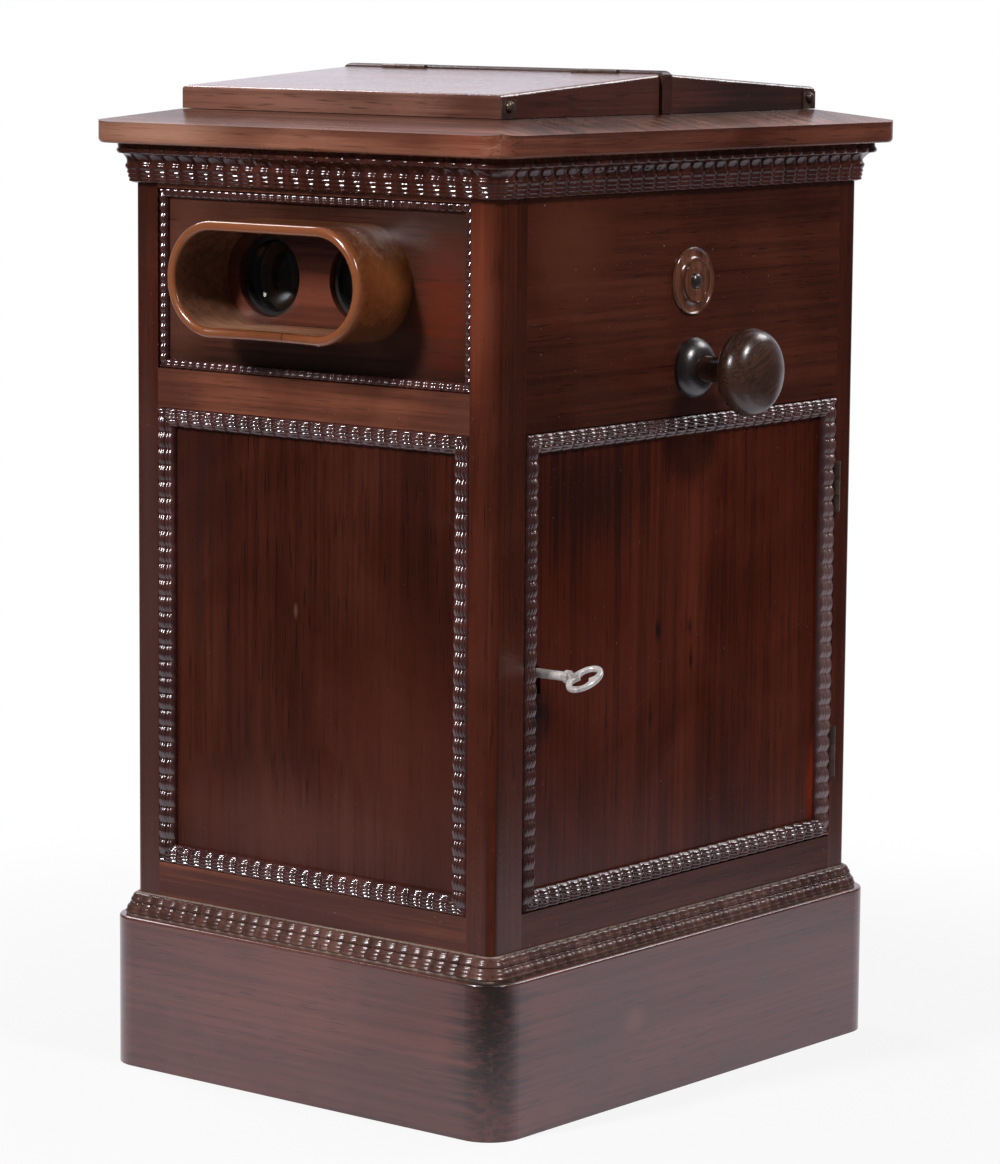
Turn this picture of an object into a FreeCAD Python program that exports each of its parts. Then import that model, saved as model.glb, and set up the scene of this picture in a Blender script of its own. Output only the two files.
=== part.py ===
"""Tabletop cabinet stereoscope: a mahogany cabinet with ripple mouldings, a hooded pair of lenses,
two lifting light flaps, a winding knob with an endless belt of view cards, a focus dial and a locked door.

Millimetres. The origin is the centre of the plinth's footprint on the table, +Z is up,
the eyepiece faces -Y, and the knob and the door are on the +X side.
"""
import FreeCAD
import Part
import math
import os

V = FreeCAD.Vector
ORIGIN = V(0, 0, 0)
AXIS_X = V(1, 0, 0)
AXIS_Y = V(0, 1, 0)
AXIS_Z = V(0, 0, 1)

# Cabinet shell
carcase_width = 264.0
carcase_depth = 334.0
carcase_corner_radius = 5.0
front_stile_width = 18.2
front_post_depth = 25.3
back_post_depth = 18.0
rail_thickness = 18.0
panel_thickness = 12.0
side_board_thickness = 14.0

# Plinth
plinth_height = 87.0
plinth_overhang = 13.0
plinth_corner_radius = 21.0
plinth_board = 22.0
plinth_edge_radius = 1.5
base_board_thickness = 8.0
bottom_board_thickness = 10.0
glue_block_size = 24.0

# Rails and openings of the front and the sides, from the plinth upwards
bottom_rail_height = 32.3
lower_opening_height = 261.7
middle_rail_height = 22.0
upper_opening_height = 101.4
top_rail_height = 24.6
lower_panel_recess = 3.7
upper_panel_recess = 4.2

# Mouldings
panel_strip_width = 11.0
panel_strip_height = 6.2
beading_width = 5.5
beading_height = 4.0
base_moulding_height = 12.7
base_moulding_depth = 8.2
cornice_height = 22.5
cornice_depth = 13.2

# Top board with its hipped upper face and its two light openings
top_overhang = 19.0
top_edge_thickness = 12.0
top_hip_rise = 7.0
top_corner_radius = 17.0
top_edge_radius = 2.5
light_opening_half_width = 92.0
light_opening_margin = 16.0
light_opening_ridge_gap = 18.0

# Ridge and flaps
flap_half_width = 115.5
flap_half_depth = 144.5
flap_outer_height = 13.0
flap_ridge_height = 22.0
flap_rim = 8.0
flap_edge_round = 2.2
flap_panel_thickness = 5.0
flap_seat_gap = 0.3
flap_ridge_gap = 0.8
mirror_thickness = 2.5
mirror_margin = 8.0
ridge_thickness = 9.0
ridge_height = 24.0
ridge_end_overhang = 1.5
ridge_round = 3.5
stud_plate_length = 12.0
stud_plate_thickness = 0.8
stud_radius = 3.0
stud_rise = 6.5
stud_height = 3.2
stud_round = 1.9

# Butt hinges: one size on the flaps, one on the door
flap_hinge_length = 32.0
flap_hinge_knuckle_radius = 1.8
flap_hinge_pin_radius = 0.9
flap_hinge_leaf_width = 11.0
flap_hinge_leaf_thickness = 0.8
flap_hinge_spacing = 140.0
flap_hinge_rise = 0.2
door_hinge_length = 30.0
door_hinge_knuckle_radius = 2.6
door_hinge_pin_radius = 1.3
door_hinge_leaf_width = 13.0
door_hinge_leaf_thickness = 1.1
door_hinge_offset = 1.0
upper_hinge_drop = 52.9
lower_hinge_rise = 51.1
knuckle_gap = 0.3
knuckle_clearance = 0.3
pin_clearance = 0.05
leaf_joint_gap = 0.1

# Door, lock and key
door_gap = 0.5
door_lock_edge_gap = 1.0
door_hinge_edge_gap = 0.8
keyhole_setback = 15.8
keyhole_rise = 130.7
keyhole_radius = 3.8
keyhole_slot_width = 7.0
keyhole_slot_drop = 12.0
lock_case_length = 42.0
lock_case_height = 40.0
lock_case_depth = 14.0
lock_case_wall = 1.5
lock_case_edge_gap = 1.8
bolt_thickness = 5.0
bolt_height = 9.0
bolt_length = 26.0
bolt_rise = 9.0
keeper_panel_gap = 1.8
keeper_height = 26.0
key_shank_radius = 2.6
key_pin_radius = 1.2
key_pin_length = 9.0
key_bit_gap = 1.0
key_collar_radius = 3.7
key_collar_length = 2.6
key_reach = 22.0
key_bow_width = 25.0
key_bow_length = 18.0
key_bow_wire = 3.4
key_bow_thickness = 2.8
key_eye_spread = 4.2
key_bit_length = 5.0
key_bit_drop = 10.0
key_bit_thickness = 2.0
key_rest_turn = 114.0

# Eyepiece hood, lenses and focusing
lens_above_middle = 4.7
lens_pitch = 67.0
lens_hole_radius = 22.6
lens_tube_clearance = 0.3
lens_tube_wall = 1.6
lens_radius = 20.0
lens_edge = 2.0
lens_bulge = 2.6
lens_setback = 8.0
lens_tube_setback = 4.0
lens_board_thickness = 8.0
lens_board_gap = 8.0
lens_board_half_height = 30.0
lens_board_left = -76.0
hood_width = 140.0
hood_height = 64.0
hood_wall = 5.5
hood_depth = 44.0
hood_rim_radius = 2.0
nose_relief_depth = 5.0
nose_relief_width = 84.0
focus_travel = 6.0
gear_module = 1.0
pinion_teeth = 16
gear_width = 6.0
rack_bar_height = 6.5
lens_board_end = 1.0
gear_backlash = 0.3
gear_stile_gap = 2.3
pressure_angle = 20.0
arbor_radius = 3.0
dial_above_shaft = 48.8
dial_depth_position = 5.5
dial_radius = 18.8
dial_thickness = 4.8
dial_wall = 1.6
dial_ring_width = 7.0
dial_ring_slope = 1.2
dial_step_drop = 0.9
dial_step_run = 0.5
dial_dish_sag = 0.6
dial_button_radius = 4.4
dial_button_rise = 2.4
dial_panel_gap = 0.3
arbor_depth = 2.6
arbor_end_gap = 0.3
bracket_half_length = 14.0
bracket_plate = 4.0

# Winding knob, shaft, roller and the belt of cards
shaft_depth_position = 7.0
shaft_above_rail = 4.2
shaft_radius = 4.0
bush_radius = 7.0
bush_flange_radius = 10.0
bush_flange = 2.0
roller_radius = 7.0
roller_half_length = 80.0
rose_radius = 17.0
rose_thickness = 9.0
knob_neck_radius = 7.4
knob_neck_clearance = 0.4
knob_radius = 24.5
knob_half_thickness = 14.0
knob_rim_radius = 11.0
knob_shoulder_radius = 10.0
lathe_centre_radius = 0.6
knob_reach = 40.0
knob_bore_depth = 12.0
belt_clearance = 0.3
belt_thickness = 0.8
belt_half_width = 70.0
belt_drop = 207.2
card_width = 171.0
card_height = 83.0
card_thickness = 1.2
holder_half_width = 75.0
holder_height = 10.0
holder_wall = 0.5
holder_seat = 2.0
holder_stand_off = 1.8
hanging_cards_per_run = 8
hanging_card_pitch = 24.0
hanging_card_drop = 22.2
hanging_card_tilt = 8.0
septum_thickness = 3.0
septum_above_shaft = 4.8
septum_front_gap = 14.0
septum_card_gap = 12.0

# Fits
push_clearance = 0.02
running_clearance = 0.05
slide_clearance = 0.3

# Places worked out from the sizes above
half_w = carcase_width / 2
half_d = carcase_depth / 2
lower_opening_bottom = plinth_height + bottom_rail_height
lower_opening_top = lower_opening_bottom + lower_opening_height
upper_opening_bottom = lower_opening_top + middle_rail_height
upper_opening_top = upper_opening_bottom + upper_opening_height
carcase_top = upper_opening_top + top_rail_height
upper_hinge_height = lower_opening_top - upper_hinge_drop
lower_hinge_height = lower_opening_bottom + lower_hinge_rise
keyhole_height = lower_opening_bottom + keyhole_rise
lens_height = (upper_opening_bottom + upper_opening_top) / 2 + lens_above_middle
shaft_height = upper_opening_bottom + shaft_above_rail
dial_height = shaft_height + dial_above_shaft
belt_bottom = shaft_height - belt_drop
hanging_card_top = shaft_height - hanging_card_drop
septum_bottom = shaft_height + septum_above_shaft
plinth_half_w = half_w + plinth_overhang
plinth_half_d = half_d + plinth_overhang
front_post_back = -half_d + front_post_depth
back_post_front = half_d - back_post_depth
stile_inner = half_w - front_stile_width
cornice_bottom = carcase_top - cornice_height
top_half_w = half_w + top_overhang
top_half_d = half_d + top_overhang
top_edge_z = carcase_top + top_edge_thickness
roof_z = top_edge_z + top_hip_rise
flap_base_z = roof_z + flap_seat_gap
ridge_half = ridge_thickness / 2
flap_back = ridge_half + flap_ridge_gap
flap_ridge_z = roof_z + flap_ridge_height
flap_outer_z = roof_z + flap_outer_height
flap_slope = (flap_ridge_z - flap_outer_z) / (flap_half_depth - flap_back)
flap_axis_y = ridge_half + flap_ridge_gap / 2
flap_axis_z = flap_ridge_z + flap_hinge_rise
door_face = half_w - lower_panel_recess
door_inner = door_face - panel_thickness
door_front = front_post_back + door_lock_edge_gap
door_back = back_post_front - door_hinge_edge_gap
door_bottom = lower_opening_bottom + door_gap
door_top = lower_opening_top - door_gap
door_axis_x = half_w + door_hinge_offset
door_axis_y = back_post_front - door_hinge_edge_gap / 2
keyhole_y = front_post_back + keyhole_setback
lower_panel_face = -half_d + lower_panel_recess
lower_panel_back = lower_panel_face + panel_thickness
keeper_length = front_post_back - lower_panel_back - keeper_panel_gap
side_board_inner = half_w - side_board_thickness
eyepiece_face = -half_d + upper_panel_recess
eyepiece_back = eyepiece_face + panel_thickness
rail_back = -half_d + rail_thickness
lens_middle = eyepiece_face + lens_setback
lens_bow = lens_edge / 2 + lens_bulge
lens_curve = (lens_radius**2 + lens_bulge**2) / (2 * lens_bulge)
lens_way_radius = lens_radius - lens_tube_wall
lens_shoulder = lens_middle + lens_bow - lens_curve + math.sqrt(lens_curve**2 - lens_way_radius**2)
lens_board_front = eyepiece_back + lens_board_gap
lens_board_back = lens_board_front + lens_board_thickness
pinion_radius = gear_module * pinion_teeth / 2
gear_x1 = stile_inner - gear_stile_gap
gear_x0 = gear_x1 - gear_width
lens_board_right = gear_x1 + lens_board_end
rack_pitch_z = dial_height + pinion_radius
rack_top_z = rack_pitch_z + rack_bar_height
knob_centre_x = half_w + knob_reach
card_y = shaft_depth_position


def box(x0, x1, y0, y1, z0, z1):
    """Box between two corners."""
    return Part.makeBox(x1 - x0, y1 - y0, z1 - z0, V(x0, y0, z0))


def rod_x(x0, x1, y, z, radius):
    """Round bar along X."""
    return Part.makeCylinder(radius, x1 - x0, V(x0, y, z), AXIS_X)


def rod_y(y0, y1, x, z, radius):
    """Round bar along Y."""
    return Part.makeCylinder(radius, y1 - y0, V(x, y0, z), AXIS_Y)


def rod_z(z0, z1, x, y, radius):
    """Round bar along Z."""
    return Part.makeCylinder(radius, z1 - z0, V(x, y, z0), AXIS_Z)


def polygon(points):
    """Flat face with straight edges through the points."""
    return Part.Face(Part.makePolygon(points + points[:1]))


def prism_x(points_yz, x0, x1):
    """Outline in the YZ plane carried along X."""
    return polygon([V(x0, y, z) for y, z in points_yz]).extrude(V(x1 - x0, 0, 0))


def rounded_slab(slab_half_x, slab_half_y, radius, z0, z1):
    """Rectangular slab with rounded upright corners."""
    slab = box(-slab_half_x, slab_half_x, -slab_half_y, slab_half_y, z0, z1)
    upright = [edge for edge in slab.Edges if abs(edge.tangentAt(edge.FirstParameter).z) > 0.9]
    return slab.makeFillet(radius, upright)


def edges_at_height(shape, z):
    """Edges that lie wholly at one height."""
    return [
        edge
        for edge in shape.Edges
        if abs(edge.BoundBox.ZMin - z) < 1e-4 and abs(edge.BoundBox.ZMax - z) < 1e-4
    ]


def turned(profile_edges, y, z):
    """Piece turned on the lathe: a closed profile in (x, radius) spun about X, then moved to its axis."""
    piece = Part.Face(Part.Wire(profile_edges)).revolve(ORIGIN, AXIS_X, 360)
    piece.translate(V(0, y, z))
    return piece


def line(a, b):
    """Straight edge between two points of a profile."""
    return Part.LineSegment(V(*a), V(*b)).toShape()


def arc(a, middle, b):
    """Arc through three points of a profile."""
    return Part.Arc(V(*a), V(*middle), V(*b)).toShape()


def mirrored_x(shape):
    """The same piece on the other side, left for right."""
    return shape.mirror(ORIGIN, AXIS_X)


def mirrored_y(shape):
    """The same piece on the other side, front for back."""
    return shape.mirror(ORIGIN, AXIS_Y)


def quarter_turned(shape, quarters):
    """Copy turned about Z by quarter turns."""
    copy = shape.copy()
    copy.rotate(ORIGIN, AXIS_Z, 90 * quarters)
    return copy


def group(solids):
    """Several separate solids in one node."""
    return Part.makeCompound(solids)


def save(node, shape):
    """Write one node and print its solids and volume."""
    solids = shape.Solids
    assert solids and all(solid.isValid() and solid.Volume > 0 for solid in solids), node
    out = solids[0] if len(solids) == 1 else Part.makeCompound(solids)
    out.exportStep(os.path.join("parts", node + ".step"))
    print(node, len(solids), round(shape.Volume, 1))


def perimeter_strip(profile, along_half, out_half, radius):
    """One side of a moulding that runs round the cabinet, with half of each rounded corner.

    The profile is a face in the XZ plane, x measured out from the cabinet's face. The strip is on the
    +X side: it is straight along Y and turns 45 degrees about each corner's centre.
    """
    straight = along_half - radius
    run = profile.copy()
    run.translate(V(out_half, -straight, 0))
    strip = run.extrude(V(0, 2 * straight, 0))
    for end in (-1, 1):
        section = profile.copy()
        section.translate(V(out_half, end * straight, 0))
        centre = V(out_half - radius, end * straight, 0)
        strip = strip.fuse(section.revolve(centre, V(0, 0, end), 45))
    return strip.removeSplitter()


def perimeter_moulding(profile):
    """Four strips round the cabinet, mitred at the corners."""
    side = perimeter_strip(profile, half_d, half_w, carcase_corner_radius)
    end = perimeter_strip(profile, half_w, half_d, carcase_corner_radius)
    return [side, quarter_turned(end, 1), quarter_turned(side, 2), quarter_turned(end, 3)]


def mitred_frame(section, strip_width, strip_height, width, height):
    """Four mitred strips laid flat round a rectangle centred on the origin, standing on z = 0.

    The section is a face in the YZ plane: y runs inwards from the outer edge and z is the height.
    """
    strips = []
    for quarter, (length, offset) in enumerate([(width, height), (height, width)] * 2):
        run = section.copy()
        run.translate(V(-length / 2, -offset / 2, 0))
        run = run.extrude(V(length, 0, 0))
        corners = [
            V(-length / 2, -offset / 2, 0),
            V(length / 2, -offset / 2, 0),
            V(length / 2 - strip_width, -offset / 2 + strip_width, 0),
            V(-length / 2 + strip_width, -offset / 2 + strip_width, 0),
        ]
        mitres = polygon(corners).extrude(V(0, 0, strip_height))
        strips.append(quarter_turned(run.common(mitres), quarter))
    return strips


def on_face(shape, quarters, across, distance, height):
    """Stand a flat-laid shape up on one side of the cabinet.

    Quarter 0 is the front, 1 the right side, 2 the back and 3 the left side. Across is the shift along
    the face, distance how far the face's plane is from the origin.
    """
    copy = shape.copy()
    copy.rotate(ORIGIN, AXIS_X, 90)
    copy.translate(V(across, -distance, height))
    return quarter_turned(copy, quarters)


def butt_hinge(length, knuckle_radius, pin_radius, leaf_width, leaf_thickness):
    """Butt hinge with its axis on Z at the origin and its leaves along -X.

    Returns the fixed leaf (on +Y, with the two outer knuckles), the moving leaf (on -Y, with the middle
    knuckle), the pin, the two leaf beds and the clearance round the knuckles.
    """
    half = length / 2
    middle = length / 6
    barrel = rod_z(-half, half, 0, 0, knuckle_radius)
    bore = rod_z(-half, half, 0, 0, pin_radius + pin_clearance)
    sweep = rod_z(-half, half, 0, 0, knuckle_radius + knuckle_clearance)
    reach = knuckle_radius * 2
    centre_band = box(-reach, reach, -reach, reach, -middle, middle)
    gap_end = middle + knuckle_gap
    outer_band = barrel.cut(box(-reach, reach, -reach, reach, -gap_end, gap_end))
    fixed_bed = box(-leaf_width, 0, leaf_joint_gap, leaf_joint_gap + leaf_thickness, -half, half)
    moving_bed = box(-leaf_width, 0, -leaf_joint_gap - leaf_thickness, -leaf_joint_gap, -half, half)
    middle_sweep = rod_z(-gap_end, gap_end, 0, 0, knuckle_radius + knuckle_clearance)
    fixed = fixed_bed.cut(middle_sweep).fuse(outer_band).cut(rod_z(-half, half, 0, 0, pin_radius))
    outer_sweep = sweep.cut(centre_band)
    moving = moving_bed.cut(outer_sweep).fuse(barrel.common(centre_band)).cut(bore)
    pin = rod_z(-half, half, 0, 0, pin_radius)
    return fixed.removeSplitter(), moving.removeSplitter(), pin, fixed_bed, moving_bed, sweep


def strip_section(width, height):
    """Section of a panel moulding: two rounded reeds, the outer one higher."""
    outer_wall = height * 0.55
    valley = (width * 0.48, height * 0.74)
    inner_lip = height * 0.22
    edges = [
        line((0, 0, 0), (0, width, 0)),
        line((0, width, 0), (0, width, inner_lip)),
        arc((0, width, inner_lip), (0, width * 0.75, height * 0.86), (0, *valley)),
        arc((0, *valley), (0, width * 0.24, height), (0, 0, outer_wall)),
        line((0, 0, outer_wall), (0, 0, 0)),
    ]
    return Part.Face(Part.Wire(edges))


def base_moulding_section():
    """Rounded foot on the plinth's ledge, a neck, and a bead against the cabinet's face."""
    depth = base_moulding_depth
    height = base_moulding_height
    z0 = plinth_height
    toe = (depth, 0, z0 + height * 0.1)
    neck = (depth * 0.4, 0, z0 + height * 0.5)
    top = (depth * 0.12, 0, z0 + height)
    edges = [
        line((0, 0, z0), (depth, 0, z0)),
        line((depth, 0, z0), toe),
        arc(toe, (depth * 0.8, 0, z0 + height * 0.35), neck),
        arc(neck, (depth * 0.5, 0, z0 + height * 0.77), top),
        line(top, (0, 0, z0 + height)),
        line((0, 0, z0 + height), (0, 0, z0)),
    ]
    return Part.Face(Part.Wire(edges))


def cornice_section():
    """Tall bead, neck, cove and rounded lip under the top board."""
    depth = cornice_depth
    height = cornice_height
    z0 = cornice_bottom
    foot = (depth * 0.1, 0, z0)
    neck = (depth * 0.38, 0, z0 + height * 0.46)
    lip = (depth * 0.88, 0, z0 + height * 0.8)
    crown = (depth * 0.9, 0, z0 + height)
    edges = [
        line((0, 0, z0), foot),
        arc(foot, (depth * 0.54, 0, z0 + height * 0.2), neck),
        arc(neck, (depth * 0.56, 0, z0 + height * 0.68), lip),
        arc(lip, (depth, 0, z0 + height * 0.91), crown),
        line(crown, (0, 0, z0 + height)),
        line((0, 0, z0 + height), (0, 0, z0)),
    ]
    return Part.Face(Part.Wire(edges))


def build_plinth():
    """Mitred plinth boards, base board, glue blocks and the board that the cabinet stands on."""
    shell = rounded_slab(plinth_half_w, plinth_half_d, plinth_corner_radius, 0, plinth_height)
    shell = shell.makeFillet(plinth_edge_radius, edges_at_height(shell, plinth_height))
    inner_w = plinth_half_w - plinth_board
    inner_d = plinth_half_d - plinth_board
    ring = shell.cut(box(-inner_w, inner_w, -inner_d, inner_d, 0, plinth_height))
    reach = plinth_half_w + plinth_half_d
    side_half = inner_d + (reach - inner_w)
    wedge = [
        V(inner_w, -inner_d, 0),
        V(reach, -side_half, 0),
        V(reach, side_half, 0),
        V(inner_w, inner_d, 0),
    ]
    side_wedge = polygon(wedge).extrude(V(0, 0, plinth_height))
    right = ring.common(side_wedge)
    rest = ring.cut(side_wedge).cut(quarter_turned(side_wedge, 2))
    save("plinth_sides", group([right, quarter_turned(right, 2)]))
    save("plinth_ends", rest)
    save("base_board", box(-inner_w, inner_w, -inner_d, inner_d, 0, base_board_thickness))
    floor_bottom = plinth_height - bottom_board_thickness
    save("bottom_board", box(-inner_w, inner_w, -inner_d, inner_d, floor_bottom, plinth_height))
    block_w = inner_w - glue_block_size
    block_d = inner_d - glue_block_size
    block = box(block_w, inner_w, block_d, inner_d, base_board_thickness, floor_bottom)
    blocks = [block, mirrored_x(block), mirrored_y(block), mirrored_x(mirrored_y(block))]
    save("plinth_blocks", group(blocks))
    save("base_moulding", group(perimeter_moulding(base_moulding_section())))


def corner_post(depth):
    """Right-hand corner post at the front, with its outer edge rounded."""
    post = box(stile_inner, half_w, -half_d, -half_d + depth, plinth_height, carcase_top)
    outer = [
        edge
        for edge in post.Edges
        if edge.BoundBox.XMin > half_w - 1e-4 and edge.BoundBox.YMax < -half_d + 1e-4
    ]
    post = post.makeFillet(carcase_corner_radius, outer)
    return post


def placed_door_hinges():
    """The door's two hinges in place: lists of fixed leaves, moving leaves, pins, beds and sweeps."""
    pieces = butt_hinge(
        door_hinge_length,
        door_hinge_knuckle_radius,
        door_hinge_pin_radius,
        door_hinge_leaf_width,
        door_hinge_leaf_thickness,
    )
    placed = []
    for piece in pieces:
        copies = []
        for height in (upper_hinge_height, lower_hinge_height):
            copy = piece.copy()
            copy.translate(V(door_axis_x, door_axis_y, height))
            copies.append(copy)
        placed.append(copies)
    return placed


def cut_all(shape, tools):
    """Cut each tool from the shape in turn."""
    for tool in tools:
        shape = shape.cut(tool)
    return shape


def build_carcase(door_hinges):
    """Posts, rails and fixed panels with their mouldings."""
    fixed_leaves, _, pins, fixed_beds, _, sweeps = door_hinges
    front_right = corner_post(front_post_depth)
    back_right = mirrored_y(corner_post(back_post_depth))
    save("post_front_right", front_right)
    save("post_front_left", mirrored_x(front_right))
    save("post_back_right", cut_all(back_right, fixed_beds + sweeps))
    save("post_back_left", mirrored_x(back_right))
    save("post_hinge_leaves", group(fixed_leaves + pins))

    levels = [
        (plinth_height, lower_opening_bottom),
        (lower_opening_top, upper_opening_bottom),
        (upper_opening_top, carcase_top),
    ]
    rails = [box(-stile_inner, stile_inner, -half_d, rail_back, low, high) for low, high in levels]
    save("front_rails", group(rails))
    back_rails = [box(-stile_inner, stile_inner, back_post_front, half_d, low, high) for low, high in levels]
    save("back_rails", group(back_rails))

    lower = box(
        -stile_inner, stile_inner, lower_panel_face, lower_panel_back, lower_opening_bottom, lower_opening_top
    )
    save("front_lower_panel", lower)
    save("back_lower_panel", mirrored_y(lower))
    upper = box(
        -stile_inner, stile_inner, eyepiece_face, eyepiece_back, upper_opening_bottom, upper_opening_top
    )
    save("back_upper_panel", mirrored_y(upper))
    holes = [
        rod_y(eyepiece_face, eyepiece_back, side * lens_pitch / 2, lens_height, lens_hole_radius)
        for side in (-1, 1)
    ]
    save("eyepiece_panel", cut_all(upper, holes))

    strip = strip_section(panel_strip_width, panel_strip_height)
    lower_height = lower_opening_top - lower_opening_bottom
    lower_middle = (lower_opening_top + lower_opening_bottom) / 2
    front_frame = mitred_frame(strip, panel_strip_width, panel_strip_height, 2 * stile_inner, lower_height)
    placed = [on_face(piece, 0, 0, -lower_panel_face, lower_middle) for piece in front_frame]
    save("front_panel_moulding", group(placed))

    bead = strip_section(beading_width, beading_height)
    upper_height = upper_opening_top - upper_opening_bottom
    upper_middle = (upper_opening_top + upper_opening_bottom) / 2
    bead_frame = mitred_frame(bead, beading_width, beading_height, 2 * stile_inner, upper_height)
    placed = [on_face(piece, 0, 0, -eyepiece_face, upper_middle) for piece in bead_frame]
    save("eyepiece_beading", group(placed))

    side_rail = box(
        half_w - rail_thickness, half_w, front_post_back, back_post_front, plinth_height, lower_opening_bottom
    )
    save("side_rails", group([side_rail, mirrored_x(side_rail)]))
    side_upper = box(
        side_board_inner, half_w, front_post_back, back_post_front, lower_opening_top, carcase_top
    )
    shaft_hole = rod_x(side_board_inner, half_w, shaft_depth_position, shaft_height, bush_radius)
    arbor_hole = rod_x(
        side_board_inner, half_w, dial_depth_position, dial_height, arbor_radius + slide_clearance
    )
    save("right_upper_panel", side_upper.cut(shaft_hole).cut(arbor_hole))
    left_hole_end = -half_w + bush_flange
    left_hole = rod_x(left_hole_end, -side_board_inner, shaft_depth_position, shaft_height, bush_radius)
    save("left_upper_panel", mirrored_x(side_upper).cut(left_hole))
    left_lower = box(
        -door_face, -door_inner, front_post_back, back_post_front, lower_opening_bottom, lower_opening_top
    )
    save("left_lower_panel", left_lower)
    side_length = back_post_front - front_post_back
    side_middle = (back_post_front + front_post_back) / 2
    side_frame = mitred_frame(strip, panel_strip_width, panel_strip_height, side_length, lower_height)
    placed = [on_face(piece, 3, -side_middle, door_face, lower_middle) for piece in side_frame]
    save("left_panel_moulding", group(placed))
    save("cornice", group(perimeter_moulding(cornice_section())))


def build_top(flap_hinges):
    """Hipped top board with two light openings, and the ridge board that the flaps hinge on."""
    fixed_leaves, _, pins, fixed_beds, _, sweeps = flap_hinges
    slab = rounded_slab(top_half_w, top_half_d, top_corner_radius, carcase_top, roof_z)
    spread_x = top_half_w - flap_half_width
    spread_y = top_half_d - flap_half_depth
    levels = [(roof_z, 0.0), (top_edge_z - 2 * top_hip_rise, 3.0)]
    outlines = []
    for z, share in levels:
        half_x = flap_half_width + spread_x * share
        half_y = flap_half_depth + spread_y * share
        corners = [V(sx * half_x, sy * half_y, z) for sx, sy in ((-1, -1), (1, -1), (1, 1), (-1, 1))]
        outlines.append(Part.makePolygon(corners + corners[:1]))
    hip = Part.makeLoft(outlines, True, True)
    top = slab.common(hip)
    top = top.makeFillet(top_edge_radius, edges_at_height(top, carcase_top))
    well_front = -flap_half_depth + light_opening_margin
    well = box(
        -light_opening_half_width,
        light_opening_half_width,
        well_front,
        -light_opening_ridge_gap,
        carcase_top,
        roof_z,
    )
    save("top_board", top.cut(well).cut(mirrored_y(well)))
    ridge_x = flap_half_width + ridge_end_overhang
    ridge_top = roof_z + ridge_height
    ridge = box(-ridge_x, ridge_x, -ridge_half, ridge_half, roof_z, ridge_top)
    crown = [edge for edge in ridge.Edges if edge.BoundBox.ZMin > ridge_top - 1e-4]
    ridge = ridge.makeFillet(ridge_round, crown)
    save("ridge_board", cut_all(ridge, fixed_beds + sweeps))
    save("ridge_hinge_leaves", group(fixed_leaves + pins))


def placed_flap_hinges():
    """The flaps' hinges in place, front pair first, in the order of butt_hinge."""
    pieces = butt_hinge(
        flap_hinge_length,
        flap_hinge_knuckle_radius,
        flap_hinge_pin_radius,
        flap_hinge_leaf_width,
        flap_hinge_leaf_thickness,
    )
    placed = []
    for piece in pieces:
        lying = piece.copy()
        lying.rotate(ORIGIN, AXIS_Y, -90)
        copies = []
        for side in (-1, 1):
            front = lying.copy()
            front.translate(V(side * flap_hinge_spacing / 2, -flap_axis_y, flap_axis_z))
            copies.append(front)
        copies += [mirrored_y(copy) for copy in copies]
        placed.append(copies)
    return placed


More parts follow.
